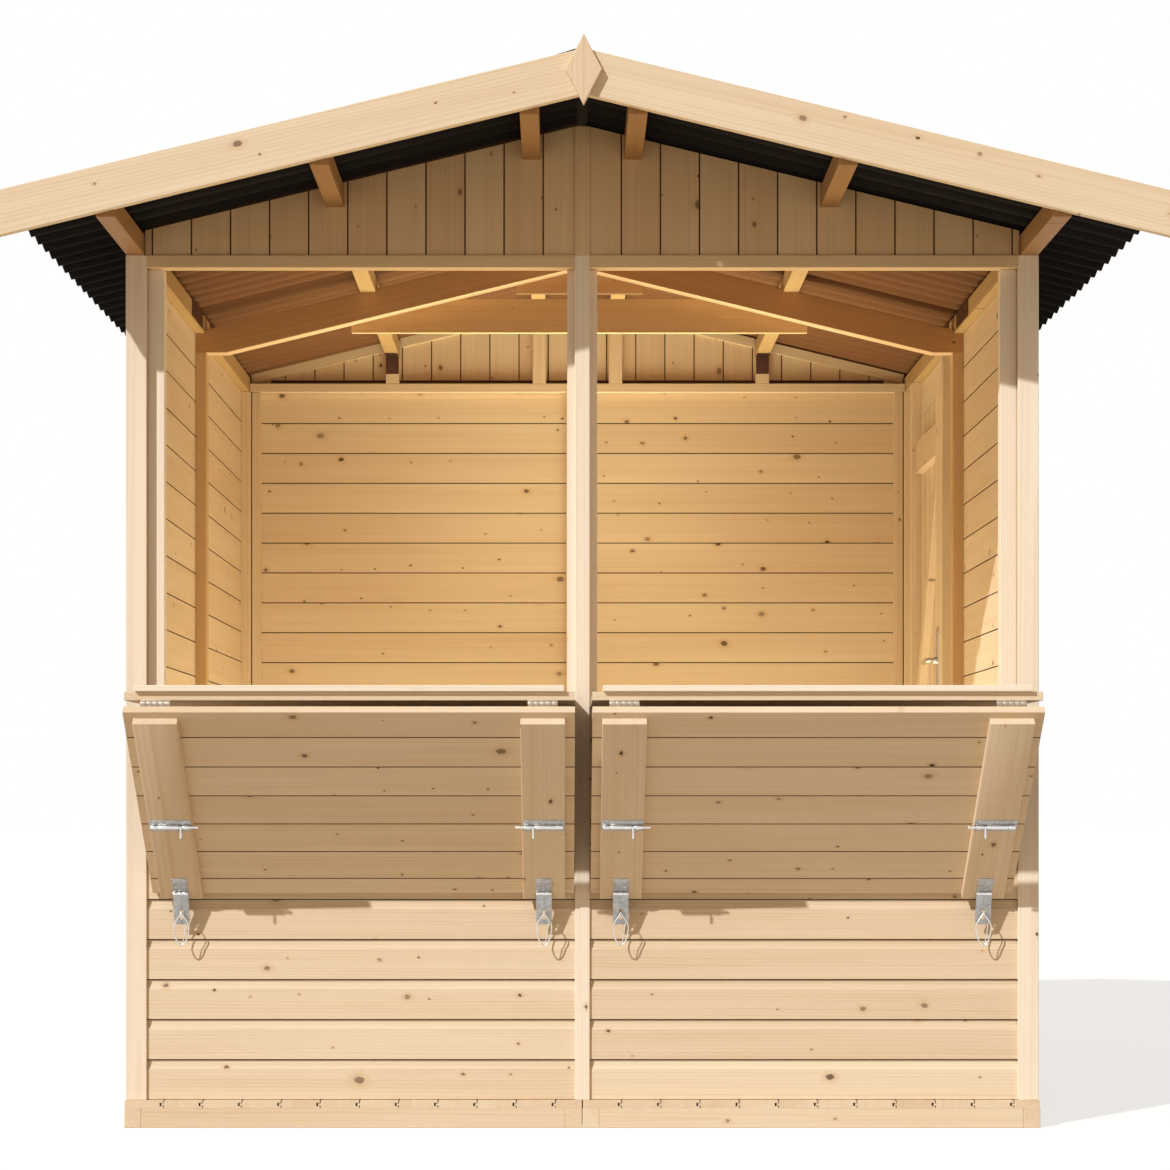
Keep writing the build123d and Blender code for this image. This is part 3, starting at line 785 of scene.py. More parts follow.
def bent_wire(points: Sequence[Sequence[float]], radius: float, closed: bool) -> Solid:
    """Round wire along a smooth path.

    Args:
        points: Places that the wire passes.
        radius: The wire's radius.
        closed: Whether the ends meet.

    Returns:
        The wire.
    """
    curve = bpy.data.curves.new("wire", "CURVE")
    curve.dimensions = "3D"
    curve.bevel_depth = radius
    curve.bevel_resolution = 3
    curve.resolution_u = 6
    curve.use_fill_caps = True
    spline = curve.splines.new("NURBS")
    spline.points.add(len(points) - 1)
    for point, place in zip(spline.points, points):
        point.co = (*place, 1.0)
    spline.use_cyclic_u = closed
    spline.use_endpoint_u = not closed
    spline.order_u = 4
    holder = bpy.data.objects.new("wire", curve)
    bpy.context.scene.collection.objects.link(holder)
    bpy.context.view_layer.update()
    mesh = bpy.data.meshes.new_from_object(holder.evaluated_get(bpy.context.evaluated_depsgraph_get()))
    bpy.data.objects.remove(holder)
    bpy.data.curves.remove(curve)
    bm = bmesh.new()
    bm.from_mesh(mesh)
    bpy.data.meshes.remove(mesh)
    bmesh.ops.remove_doubles(bm, verts=bm.verts, dist=0.02 * MM)
    return bm


@dataclass
class TonguedBoard:
    """Profile of one tongued board: across it along Y, through it along Z from its inner face."""

    thickness: float
    face: BoardFace
    gap: float = 0.9 * MM
    chamfer: float = 0.6 * MM
    rim: float = 0.6 * MM
    cove_height: float = 20.0 * MM
    cove_depth: float = 5.6 * MM
    tongue_length: float = 5.5 * MM
    tongue_low: float = 5.2 * MM
    tongue_high: float = 9.2 * MM
    slack: float = 0.5 * MM

    def profile(self, width: float, tongue: bool, groove: bool) -> list[Pair]:
        """Corners of the profile in order.

        Args:
            width: Cover width of this board.
            tongue: Whether its far edge has a tongue.
            groove: Whether its near edge has a groove.

        Returns:
            Places across and through the board.
        """
        t, g, c = self.thickness, self.gap, self.chamfer
        far, near = width - g, g
        points = [(near + c, 0.0), (far - c, 0.0), (far, c)]
        if tongue:
            tip, low, high = far + self.tongue_length, self.tongue_low, self.tongue_high
            points += [(far, low), (tip, low), (tip, high), (far, high)]
        coved = self.face is BoardFace.COVED
        points += self._cove(far) if coved and tongue else [(far, t - c), (far - c, t)]
        rim = self.rim if coved else c
        points += [(near + rim, t), (near, t - rim)]
        if groove:
            floor = near + self.tongue_length + 2 * self.slack
            low, high = self.tongue_low - self.slack, self.tongue_high + self.slack
            points += [(near, high), (floor, high), (floor, low), (near, low)]
        return points + [(near, c)]

    def _cove(self, far: float) -> list[Pair]:
        """Hollow curve from the far edge out to the face.

        Args:
            far: Place of the far edge across the board.

        Returns:
            Places across and through the board.
        """
        shares = (0.0, 0.28, 0.55, 0.78, 0.93, 1.0)
        top = self.thickness
        return [(far - self.cove_height * s, top - self.cove_depth * (1.0 - s ** 2.2)) for s in shares]

    def cut(self, length: float, width: float, tongue: bool, groove: bool) -> Solid:
        """Cut one board to length.

        Args:
            length: Its length along X.
            width: Its cover width.
            tongue: Whether its far edge has a tongue.
            groove: Whether its near edge has a groove.

        Returns:
            The board.
        """
        corners = [(0.0, y, z) for y, z in self.profile(width, tongue, groove)]
        bm = prism(corners, (length, 0.0, 0.0))
        self._mark_joint_shade(bm, length, width, tongue, groove)
        return bm

    def _mark_joint_shade(self, bm: Solid, length: float, width: float, tongue: bool, groove: bool) -> None:
        """Mark the narrow faces that lie in the joints with the next boards, where the material paints shade.

        Args:
            bm: The board.
            length: Its length along X.
            width: Its cover width.
            tongue: Whether its far edge has a tongue.
            groove: Whether its near edge has a groove.
        """
        joint = bm.faces.layers.float.new("joint")
        edge = self.gap + self.chamfer
        for face in bm.faces:
            x, y, _ = face.calc_center_median()
            side = 1 * MM < x < length - 1 * MM
            if side and ((groove and y < edge) or (tongue and y > width - edge)):
                face[joint] = 1.0


@dataclass
class BoardRun:
    """Boards laid side by side over a panel."""

    place: Matrix
    length: float
    cover: float
    pitch: float
    first: float
    board: TonguedBoard

    def lay(self, piece: Workpiece, cuts: Sequence[tuple[Vector, Vector]] = ()) -> None:
        """Lay the boards into a piece.

        Args:
            piece: The piece they belong to.
            cuts: Planes in the hut's frame, as a place and an outward direction, beyond which boards are cut away.
        """
        start, width = 0.0, self.first
        while start < self.cover - 2 * MM:
            width = min(width, self.cover - start)
            last = start + width > self.cover - 2 * MM
            part = self.board.cut(self.length, width, not last, start > 0.0)
            lift = piece.rng.uniform(-0.25, 0.0) * MM
            bmesh.ops.translate(part, verts=part.verts, vec=(0.0, start, lift))
            self._trim(part, cuts)
            if part.faces:
                piece.add(part, self.place)
            start, width = start + width, self.pitch

    def _trim(self, part: Solid, cuts: Sequence[tuple[Vector, Vector]]) -> None:
        """Cut a board along planes and close the cut ends.

        Args:
            part: The board.
            cuts: Planes in the hut's frame, as a place and an outward direction.
        """
        back = self.place.inverted()
        for point, normal in cuts:
            geometry = part.verts[:] + part.edges[:] + part.faces[:]
            done = bmesh.ops.bisect_plane(part, geom=geometry, plane_co=back @ point,
                                          plane_no=back.to_3x3() @ normal, clear_outer=True)
            rim = [e for e in done["geom_cut"] if isinstance(e, bmesh.types.BMEdge)]
            if rim:
                bmesh.ops.contextual_create(part, geom=rim)


@dataclass
class Timberyard:
    """Turns CAD timbers into planed timbers with eased edges and grain along their length."""

    finishes: Finishes
    ease: float = 1.6 * MM

    @staticmethod
    def solids(node: str) -> list[Solid]:
        """Split a CAD node into its solids, with flat faces whole again.

        Args:
            node: Name of the node.

        Returns:
            One bmesh for each solid.
        """
        joined = bmesh.new()
        joined.from_mesh(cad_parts[node].data)
        bmesh.ops.remove_doubles(joined, verts=joined.verts, dist=0.01 * MM)
        bmesh.ops.dissolve_limit(joined, angle_limit=math.radians(1.0), verts=joined.verts, edges=joined.edges)
        joined.verts.index_update()
        found, seen = [], set()
        for seed in joined.verts:
            if seed.index in seen:
                continue
            island, edge = {seed.index}, [seed]
            while edge:
                for link in edge.pop().link_edges:
                    for vert in link.verts:
                        if vert.index not in island:
                            island.add(vert.index)
                            edge.append(vert)
            seen |= island
            part = joined.copy()
            part.verts.index_update()
            bmesh.ops.delete(part, geom=[v for v in part.verts if v.index not in island], context="VERTS")
            found.append(part)
        joined.free()
        return found

    @staticmethod
    def grain_frame(part: Solid, upright: bool) -> Matrix:
        """Frame with X along the longest edge and Z out of the broadest face.

        Args:
            part: The timber.
            upright: Whether the grain stands upright, whatever the edges say.

        Returns:
            The frame's matrix.
        """
        part.normal_update()
        longest = max(part.edges, key=lambda e: round(e.calc_length(), 5))
        along = (longest.verts[1].co - longest.verts[0].co).normalized()
        if upright:
            along = Vector((0.0, 0.0, 1.0))
        if along.dot(Vector((1.0, 0.7, 0.4))) < 0.0:
            along.negate()
        flat = [f for f in part.faces if abs(f.normal.dot(along)) < 0.2]
        out = max(flat, key=lambda f: round(f.calc_area(), 6)).normal
        across = out.cross(along).normalized()
        centre = sum((v.co for v in part.verts), Vector()) / len(part.verts)
        return frame_matrix(centre, along, across)

    def plane(self, name: str, nodes: Sequence[str], stock: Stock, body: Body, seed: int, upright: bool) -> None:
        """Plane the timbers of some CAD nodes into one piece.

        Args:
            name: Name of the piece.
            nodes: CAD nodes it stands for.
            stock: Kind of timber.
            body: The body it rides on.
            seed: Seed of its random draws.
            upright: Whether the grain stands upright.
        """
        piece = Workpiece(name, seed)
        for node in nodes:
            for part in self.solids(node):
                grain = self.grain_frame(part, upright)
                ease_edges(part, self.ease)
                piece.add(part, grain_frame=grain)
        piece.finish(self.finishes.timber(stock), body, nodes)


@dataclass
class Walls:
    """Board walls and gables."""

    finishes: Finishes
    wall_x: float = 1.005
    wall_y: float = 0.975
    thickness: float = 0.016
    floor_top: float = 0.060
    wall_top: float = 1.922
    sill_top: float = 0.944
    joint: float = 0.0005
    pitch: float = 0.0883
    starter: float = 0.0959
    gable_pitch: float = 0.0862
    gable_half: float = 0.965
    eaves_line: float = 1.967
    slope: float = math.tan(math.radians(13.6))
    doorway: Triple = (0.205, 0.755, 1.830)
    # Width and thickness of the dark strips of painted shadow at the back wall.
    gap: Pair = (0.0032, 0.0006)
    shadow_strip_inset: float = 0.060
    back_rail: Pair = (0.104, 1.948)
    stud_x: float = 0.961
    stud_y: float = 0.931
    edge: Pair = (0.0275, 0.010)
    edge_spans: tuple[Pair, ...] = ((0.1365, 0.5205), (0.570, 0.9615))

    @property
    def inner_x(self) -> float:
        """Inner face of the side walls' boards."""
        return self.wall_x - self.thickness

    @property
    def inner_y(self) -> float:
        """Inner face of the front and back walls' boards."""
        return self.wall_y - self.thickness

    def build(self) -> None:
        """Build every wall and gable."""
        self._whole()
        self._right()
        self._gables()
        self._shadow_strips()
        self._edges()

    def _run(self, piece: Workpiece, corner: Sequence[float], along: Sequence[float], length: float, height: float,
             first: float) -> None:
        """Lay coved boards over a panel, from the bottom up.

        Args:
            piece: The wall.
            corner: Lower corner of the panel on its inner face.
            along: Direction of the boards.
            length: Length of the boards.
            height: Height of the panel.
            first: Cover width of the lowest board.
        """
        place = frame_matrix(corner, along, (0, 0, 1))
        BoardRun(place, length, height, self.pitch, first, TonguedBoard(self.thickness, BoardFace.COVED)).lay(piece)

    def _whole(self) -> None:
        """Front, back and left walls, of two panels each; the front's are low, under the hatches."""
        x, y, joint = self.inner_x, self.inner_y, self.joint
        low, high = self.sill_top - self.floor_top, self.wall_top - self.floor_top
        across, deep = x - joint, self.wall_y - joint
        for node, seed, starts, along, length, height, first in (
                ("front_wall", 11, ((-x, -y), (joint, -y)), (1, 0, 0), across, low, self.pitch),
                ("back_wall", 12, ((-joint, y), (x, y)), (-1, 0, 0), across, high, self.starter),
                ("left_wall", 13, ((-x, self.wall_y), (-x, -joint)), (0, -1, 0), deep, high, self.starter)):
            piece = Workpiece(f"{node}_boards", seed)
            for start in starts:
                self._run(piece, (*start, self.floor_top), along, length, height, first)
            piece.finish(self.finishes.boards, Body.HUT, [node])

    def _right(self) -> None:
        """A front panel, a rear panel beside the doorway, and the short boards over it."""
        near, far, head = self.doorway
        height = self.wall_top - self.floor_top
        piece = Workpiece("right_wall_boards", 14)
        for start, end in ((-self.wall_y, -self.joint), (self.joint, near), (far, self.wall_y)):
            self._run(piece, (self.inner_x, start, self.floor_top), (0, 1, 0), end - start, height, self.starter)
        piece.finish(self.finishes.boards, Body.HUT, ["right_wall"])
        over = Workpiece("boards_over_door", 15)
        self._run(over, (self.inner_x, near, head), (0, 1, 0), far - near, self.wall_top - head, self.wall_top - head)
        over.finish(self.finishes.boards, Body.HUT, ["right_wall_over_door"])

    def _gables(self) -> None:
        """Upright boards, cut to the roof's slope."""
        ridge = Vector((0.0, 0.0, self.eaves_line + self.slope * self.wall_x))
        cuts = [(ridge, Vector((side * self.slope, 0.0, 1.0)).normalized()) for side in (-1, 1)]
        length = ridge.z - self.wall_top
        # The front gable's boards take the pine with painted shade.
        for name, node, face, across, seed, skin in (
                ("front_gable_boards", "front_gable", -1, -1, 16, self.finishes.under_roof),
                ("back_gable_boards", "back_gable", 1, 1, 17, self.finishes.boards)):
            piece = Workpiece(name, seed)
            spare = self.gable_half % self.gable_pitch
            place = frame_matrix((-across * self.gable_half, face * self.inner_y, self.wall_top), (0, 0, 1),
                                 (across, 0, 0))
            board = TonguedBoard(self.thickness, BoardFace.PLAIN, gap=0.9 * MM, chamfer=0.8 * MM)
            BoardRun(place, length, 2 * self.gable_half, self.gable_pitch, spare, board).lay(piece, cuts)
            piece.finish(skin, Body.HUT, [node])

    def _shadow_strips(self) -> None:
        """Dark strips of painted shadow over the back wall's rail and beside its corner studs."""
        piece = Workpiece("back_wall_shadow_strips", 18)
        width, thick = self.gap
        rail_low, rail_high = self.back_rail
        middle = (0.0, self.inner_y - thick / 2, rail_high + 2.2 * width)
        piece.add(bar((2 * (self.gable_half - self.shadow_strip_inset), thick, 4 * width), 0.0, middle))
        for side in (-1, 1):
            middle = (side * (self.stud_x - width / 2), self.stud_y - thick / 2, (rail_low + self.wall_top) / 2)
            piece.add(bar((width, thick, self.wall_top - rail_low), 0.0, middle))
        piece.finish(self.finishes.seams, Body.HUT)

    def _edges(self) -> None:
        """Sloping strips inside, along the top of the back gable between the purlins."""
        piece = Workpiece("gable_edge_strips", 19)
        width, thick = self.edge
        pitch = math.atan(self.slope)
        top = self.eaves_line + self.slope * self.wall_x - width / (2 * math.cos(pitch))
        for side in (-1, 1):
            for near, far in self.edge_spans:
                middle = (near + far) / 2
                place = Matrix.Translation((side * middle, self.inner_y - thick / 2, top - self.slope * middle))
                strip = bar(((far - near) / math.cos(pitch), thick, width), 0.8 * MM)
                piece.add(strip, place @ Matrix.Rotation(side * pitch, 4, "Y"))
        piece.finish(self.finishes.boards, Body.HUT)


@dataclass
class Floor:
    """Two decks of tongued boards that run from front to back."""

    finishes: Finishes
    half_width: float = 1.007
    half_depth: float = 0.995
    bottom: float = 0.044
    thickness: float = 0.016
    joint: float = 0.0005
    pitch: float = 0.0862

    def build(self) -> None:
        """Lay both decks, each from its left edge."""
        piece = Workpiece("floor_boards", 21)
        board = TonguedBoard(self.thickness, BoardFace.PLAIN, gap=0.8 * MM, slack=1.2 * MM, tongue_low=5.6 * MM,
                             tongue_high=10.4 * MM)
        cover = self.half_width - self.joint
        for start in (-self.half_width, self.joint):
            place = frame_matrix((start + cover, -self.half_depth, self.bottom), (0, 1, 0), (-1, 0, 0))
            spare = cover % self.pitch
            BoardRun(place, 2 * self.half_depth, cover, self.pitch, spare, board).lay(piece)
        piece.finish(self.finishes.boards, Body.HUT, ["floor_decks"])


@dataclass
class Roof:
    """Corrugated sheets, their nails and the ridge cap."""

    finishes: Finishes
    pitch: float = math.radians(13.6)
    half_depth: float = 1.353
    start: float = 0.010
    eaves: float = 1.180
    wall_x: float = 1.005
    eaves_line: float = 1.967
    waves: int = 36
    wave_height: float = 0.027
    thickness: float = 0.003
    sheets: int = 3
    lap_lift: float = 0.0022
    steps: int = 12
    purlins: Triple = (0.985, 0.545, 0.165)
    nail: Triple = (0.0095, 0.005, 0.0015)
    crests_a_nail: int = 3

    @property
    def wave(self) -> float:
        """Length of one wave."""
        return 2 * self.half_depth / self.waves

    def underside(self, x: float) -> float:
        """Height of the sheets' lowest line at x."""
        return self.eaves_line + math.tan(self.pitch) * (self.wall_x - x)

    def rise(self, y: float) -> float:
        """Height of the sheet's middle surface over its lowest line."""
        turn = 2 * math.pi * (y + self.half_depth) / self.wave - math.pi / 2
        return (self.wave_height + self.thickness) / 2 - self.wave_height / 2 * math.cos(turn)

    def build(self) -> None:
        """Build both slopes and the ridge cap."""
        for side, name, node in ((-1, "corrugated_sheets_left", "roof_sheet_left"),
                                 (1, "corrugated_sheets_right", "roof_sheet_right")):
            self._slope(side, name, node)
            self._nails(side, name.replace("corrugated_sheets", "sheet_nails"))
        self._cap()

    def _place(self, side: int) -> Matrix:
        """Frame on a slope: X down it from the ridge, Y towards the back on the right."""
        down = (side * math.cos(self.pitch), 0.0, -math.sin(self.pitch))
        return frame_matrix((side * self.start, 0.0, self.underside(self.start)), down, (0, side, 0))

    def _slope(self, side: int, name: str, node: str) -> None:
        """Lay overlapping sheets on one slope.

        Args:
            side: -1 for the left slope, 1 for the right.
            name: Name of the piece.
            node: CAD node it stands for.
        """
        piece = Workpiece(name, 31 + side)
        length = (self.eaves - self.start) / math.cos(self.pitch)
        waves = self.waves // self.sheets
        for sheet in range(self.sheets):
            count = waves + (0.5 if sheet else 0.0)
            width = count * self.wave
            end = -self.half_depth + (sheet + 1) * waves * self.wave
            bm = bmesh.new()
            bmesh.ops.create_grid(bm, x_segments=6, y_segments=int(count * self.steps), size=0.5,
                                  matrix=Matrix.Translation((length / 2, end - width / 2, 0.0))
                                  @ Matrix.Diagonal((length, width, 1.0, 1.0)))
            for vert in bm.verts:
                lap = max(0.0, 1.0 - (vert.co.y - end + width) / (2 * self.wave)) if sheet else 0.0
                vert.co.z = self.rise(vert.co.y) + lap * self.lap_lift - self.thickness / 2
            bmesh.ops.recalc_face_normals(bm, faces=bm.faces)
            bmesh.ops.solidify(bm, geom=bm.faces[:], thickness=-self.thickness)
            bmesh.ops.recalc_face_normals(bm, faces=bm.faces)
            piece.add(bm, self._place(side))
        piece.finish(self.finishes.roof, Body.HUT, [node], smooth=40.0)

    def _nails(self, side: int, name: str) -> None:
        """Capped nails through every third crest over each purlin.

        Args:
            side: -1 for the left slope, 1 for the right.
            name: Name of the piece.
        """
        piece = Workpiece(name, 41 + side)
        place = self._place(side)
        radius, height, sunk = self.nail
        top = self.wave_height + self.thickness - sunk
        for x in self.purlins:
            down = (x - self.start) / math.cos(self.pitch)
            for crest in range(1, self.waves, self.crests_a_nail):
                y = -self.half_depth + (crest + 0.75) * self.wave
                bm = rod(radius, height, 2.2 * MM, 12, radius * 0.7)
                bmesh.ops.translate(bm, verts=bm.verts, vec=(down, side * y, top))
                piece.add(bm, place)
        piece.finish(self.finishes.roof, Body.HUT, smooth=40.0)

    def _cap(self) -> None:
        """Ridge cap with a rounded fold."""
        piece = Workpiece("ridge_cap_sheet", 45)
        for part in Timberyard.solids("ridge_cap"):
            fold = [e for e in part.edges if all(abs(v.co.x) < 1 * MM for v in e.verts)
                    and abs(e.verts[0].co.y - e.verts[1].co.y) > 0.5]
            round_edges(part, fold, 4 * MM, 3)
            piece.add(part)
        piece.finish(self.finishes.cap, Body.HUT, ["ridge_cap"], smooth=40.0)


@dataclass
class Hatches:
    """Two folding hatches: level counters propped by flaps, with their hinges, bolts and hasps."""

    finishes: Finishes
    near_x: float = 0.018
    far_x: float = 0.945
    wall_y: float = -0.975
    depth: float = 0.387
    sill_top: float = 0.944
    thickness: float = 0.018
    pitch: float = 0.0862
    counter_first: float = 0.050
    foot: Pair = (-0.975, 0.528)
    head: Pair = (-1.371, 0.914)
    flap_last: float = 0.073
    batten_width: float = 0.092
    batten_inset: float = 0.020
    batten_thickness: float = 0.018
    hinge_inset: float = 0.035
    hinge_width: float = 0.062
    hinge_leaf: float = 0.030
    hinge_plate: float = 0.002
    knuckle: float = 0.0063
    bolt_rise: float = 0.236
    bolt_plate: Triple = (0.090, 0.032, 0.002)
    bolt_barrel: Pair = (0.0045, 0.083)
    bolt_rod: Pair = (0.0028, 0.060)
    bolt_lengths: tuple[Pair, ...] = ((-0.5, -0.325), (-0.315, 0.225), (0.315, 0.5))
    bolt_covered: float = 0.48
    bolt_bedding: float = 0.0008
    bolt_knob: Triple = (2.1 * MM, 24.3 * MM, 2.5 * MM)
    bolt_screws: Pair = (0.033, 0.0112)
    hasp_foot: float = 0.024
    hasp_width: float = 0.034
    hasp_leaves: Pair = (0.045, 0.071)
    hasp_plate: float = 0.002
    hasp_knuckle: float = 0.004
    hasp_lean: float = math.radians(18.0)
    hasp_screws: tuple[Pair, ...] = ((-0.009, 0.016), (-0.009, 0.034), (0.009, 0.016), (0.009, 0.034))
    hasp_corner: float = 0.0085
    hasp_slot: Triple = (0.004, 0.008, 0.022)
    screw: float = 0.0036

    @property
    def flap_up(self) -> Vector:
        """Direction up along a flap."""
        return Vector((0.0, self.head[0] - self.foot[0], self.head[1] - self.foot[1])).normalized()

    @property
    def flap_length(self) -> float:
        """Length of a flap up along itself."""
        return math.hypot(self.head[0] - self.foot[0], self.head[1] - self.foot[1])

    def flap_frame(self, x: float, up: float, out: float) -> Matrix:
        """Frame on a flap: X to the right, Y up along it, Z out of its front.

        Args:
            x: Place across the hut.
            up: Distance up from the flap's foot.
            out: Distance out from its back face.

        Returns:
            The frame's matrix.
        """
        frame_there = frame_matrix((x, *self.foot), (1, 0, 0), self.flap_up)
        return frame_there @ Matrix.Translation((0.0, up, out))

    def build(self) -> None:
        """Build the boards and the fittings."""
        self._boards()
        self._hinges()
        self._bolts()
        self._hasps()

    def _boards(self) -> None:
        """Counters and flaps of tongued boards."""
        width = self.far_x - self.near_x
        counters = Workpiece("counter_boards", 51)
        flaps = Workpiece("flap_boards", 52)
        board = TonguedBoard(self.thickness, BoardFace.PLAIN, tongue_low=6.5 * MM, tongue_high=11.0 * MM)
        spare = (self.flap_length - self.flap_last) % self.pitch
        for left in (-self.far_x, self.near_x):
            corner = (left, self.wall_y - self.depth, self.sill_top - self.thickness)
            place = frame_matrix(corner, (1, 0, 0), (0, 1, 0))
            BoardRun(place, width, self.depth, self.pitch, self.counter_first, board).lay(counters)
            BoardRun(self.flap_frame(left, 0.0, 0.0), width, self.flap_length, self.pitch, spare, board).lay(flaps)
        counters.finish(self.finishes.boards, Body.HUT, ["counters"])
        flaps.finish(self.finishes.flaps, Body.HUT, ["flaps"])

    def _screws(self, piece: Workpiece, place: Matrix, spots: Iterable[Pair]) -> None:
        """Countersunk screw heads on a plate.

        Args:
            piece: The fitting.
            place: Frame of the plate, with Z out of it.
            spots: Places on the plate.
        """
        for x, y in spots:
            bm = rod(self.screw, 1.1 * MM, 0.4 * MM, 14, self.screw * 0.7)
            bmesh.ops.translate(bm, verts=bm.verts, vec=(x, y, 0.0))
            piece.add(bm, place)

    def _leaf(self, piece: Workpiece, place: Matrix, reach: float) -> None:
        """One leaf of a butt hinge with its screws.

        Args:
            piece: The fitting.
            place: Frame at the middle of the leaf's knuckle edge, X along it, Y away from it, Z out.
            reach: How far the leaf reaches.
        """
        plate = bar((self.hinge_width, reach, self.hinge_plate), 0.5 * MM, (0.0, reach / 2, self.hinge_plate / 2))
        piece.add(plate, place)
        lift = place @ Matrix.Translation((0.0, 0.0, self.hinge_plate))
        self._screws(piece, lift, [(dx * self.hinge_width, reach * 0.62) for dx in (-0.33, 0.0, 0.33)])

    def _barrel(self, piece: Workpiece, centre: Sequence[float], radius: float, width: float, count: int) -> None:
        """Knuckle of a hinge along X, in short lengths with a pin.

        Args:
            piece: The fitting.
            centre: Middle of the knuckle.
            radius: Its radius.
            width: Its whole length.
            count: Number of lengths.
        """
        share = width / count
        turn = Matrix.Rotation(math.pi / 2, 4, "Y")
        for index in range(count):
            bm = rod(radius, share - 0.5 * MM, 0.5 * MM)
            start = centre[0] - width / 2 + index * share
            piece.add(bm, Matrix.Translation((start, centre[1], centre[2])) @ turn)
        pin = rod(radius * 0.55, width - 0.4 * MM, 0.3 * MM, 16)
        piece.add(pin, Matrix.Translation((centre[0] - width / 2 + 0.2 * MM, centre[1], centre[2])) @ turn)

    def _hinges(self) -> None:
        """Butt hinges at each fold and under each counter at the wall."""
        piece = Workpiece("hatch_butt_hinges", 53)
        bottom = self.sill_top - self.thickness
        fold_y = (self.wall_y - self.depth + self.head[0]) / 2
        fold_z = (bottom + self.head[1]) / 2 - self.hinge_plate / 2
        half = self.hinge_width / 2
        for side in (-1, 1):
            for x in (self.near_x + self.hinge_inset + half, self.far_x - self.hinge_inset - half):
                x *= side
                self._barrel(piece, (x, fold_y, fold_z), self.knuckle, self.hinge_width, 5)
                under = frame_matrix((x, fold_y, bottom), (-1, 0, 0), (0, 1, 0))
                self._leaf(piece, under, self.hinge_leaf)
                back = self.flap_frame(x, self.flap_length, 0.0) @ Matrix.Rotation(math.pi, 4, "X")
                self._leaf(piece, back, self.hinge_leaf)
                wall_hinge = (x, self.wall_y - self.knuckle, bottom - self.knuckle)
                self._barrel(piece, wall_hinge, self.knuckle, self.hinge_width, 5)
                under = frame_matrix((x, self.wall_y - self.knuckle, bottom), (1, 0, 0), (0, -1, 0))
                self._leaf(piece, under, self.hinge_leaf / 2)
                wall = frame_matrix((x, self.wall_y, bottom - self.knuckle), (-1, 0, 0), (0, 0, -1))
                self._leaf(piece, wall, self.hinge_leaf)
        piece.finish(self.finishes.warm, Body.HUT, ["hatch_hinges"], smooth=35.0)

    def _batten_centres(self) -> list[tuple[float, int]]:
        """Find the four flap battens.

        Returns:
            Their middles along X, each with the direction to its hatch's middle.
        """
        near = self.near_x + self.batten_inset + self.batten_width / 2
        far = self.far_x - self.batten_inset - self.batten_width / 2
        return [(side * x, side * inward) for side in (-1, 1) for x, inward in ((near, 1), (far, -1))]

    def _bolts(self) -> None:
        """Barrel bolts across the battens, their rods pushed out."""
        piece = Workpiece("hatch_barrel_bolts", 54)
        tubes = Workpiece("bolt_barrels_and_rods", 57)
        out = self.thickness + self.batten_thickness
        length, _, thick = self.bolt_plate
        radius, reach = self.bolt_barrel
        axis = thick + radius - self.bolt_bedding
        for x, inward in self._batten_centres():
            place = self.flap_frame(x, self.bolt_rise, out)
            turn = Matrix.Rotation(inward * math.pi / 2, 4, "Y")
            piece.add(bar(self.bolt_plate, 0.6 * MM, (0.0, 0.0, thick / 2)), place)
            for start, end in self.bolt_lengths:
                tube = rod(radius, (end - start) * reach, 0.6 * MM)
                tubes.add(tube, place @ Matrix.Translation((inward * start * reach, 0.0, axis)) @ turn)
            covered = self.bolt_covered * reach
            shaft = rod(self.bolt_rod[0], self.bolt_rod[1] + covered, 0.7 * MM, 20)
            tubes.add(shaft, place @ Matrix.Translation((-inward * covered, 0.0, axis)) @ turn)
            middle = place @ Vector((inward * 0.25 * length, 0.0, axis))
            neck, drop, tip = self.bolt_knob
            knob = rod(neck, drop, 0.9 * MM, 16, tip)
            tubes.add(knob, Matrix.Translation(middle) @ Matrix.Rotation(math.pi, 4, "X"))
            dx, dy = self.bolt_screws
            self._screws(piece, place @ Matrix.Translation((0.0, 0.0, thick)),
                         [(-dx, -dy), (-dx, dy), (dx, -dy), (dx, dy)])
        piece.finish(self.finishes.zinc, Body.HUT, ["barrel_bolts"], smooth=35.0)
        tubes.finish(self.finishes.polished, Body.HUT, smooth=35.0)

    def _hasps(self) -> None:
        """Hasps with a hanging slotted leaf, a staple and a wire clip."""
        plates = Workpiece("hatch_hasps", 55)
        wires = Workpiece("hasp_clips", 56)
        out = self.thickness + self.batten_thickness
        fixed, plate = self.hasp_leaves[0], self.hasp_plate
        for x, _ in self._batten_centres():
            place = self.flap_frame(x, self.hasp_foot, out)
            plates.add(bar((self.hasp_width, fixed, plate), 0.5 * MM, (0.0, fixed / 2, plate / 2)), place)
            self._screws(plates, place @ Matrix.Translation((0.0, 0.0, plate)), self.hasp_screws)
            knuckle = place @ Vector((0.0, 0.0, self.hasp_knuckle))
            self._barrel(wires, knuckle, self.hasp_knuckle, self.hasp_width, 3)
            leaning = (0.0, -math.sin(self.hasp_lean), math.cos(self.hasp_lean))
            self._loose_leaf(plates, frame_matrix(knuckle, (1, 0, 0), leaning))
            self._clip(wires, frame_matrix(knuckle + Vector((0.0, 8 * MM, 0.0)), (1, 0, 0), (0, 0, 1)))
        plates.finish(self.finishes.zinc, Body.HUT, ["hasps"], smooth=35.0)
        wires.finish(self.finishes.polished, Body.HUT, smooth=60.0)

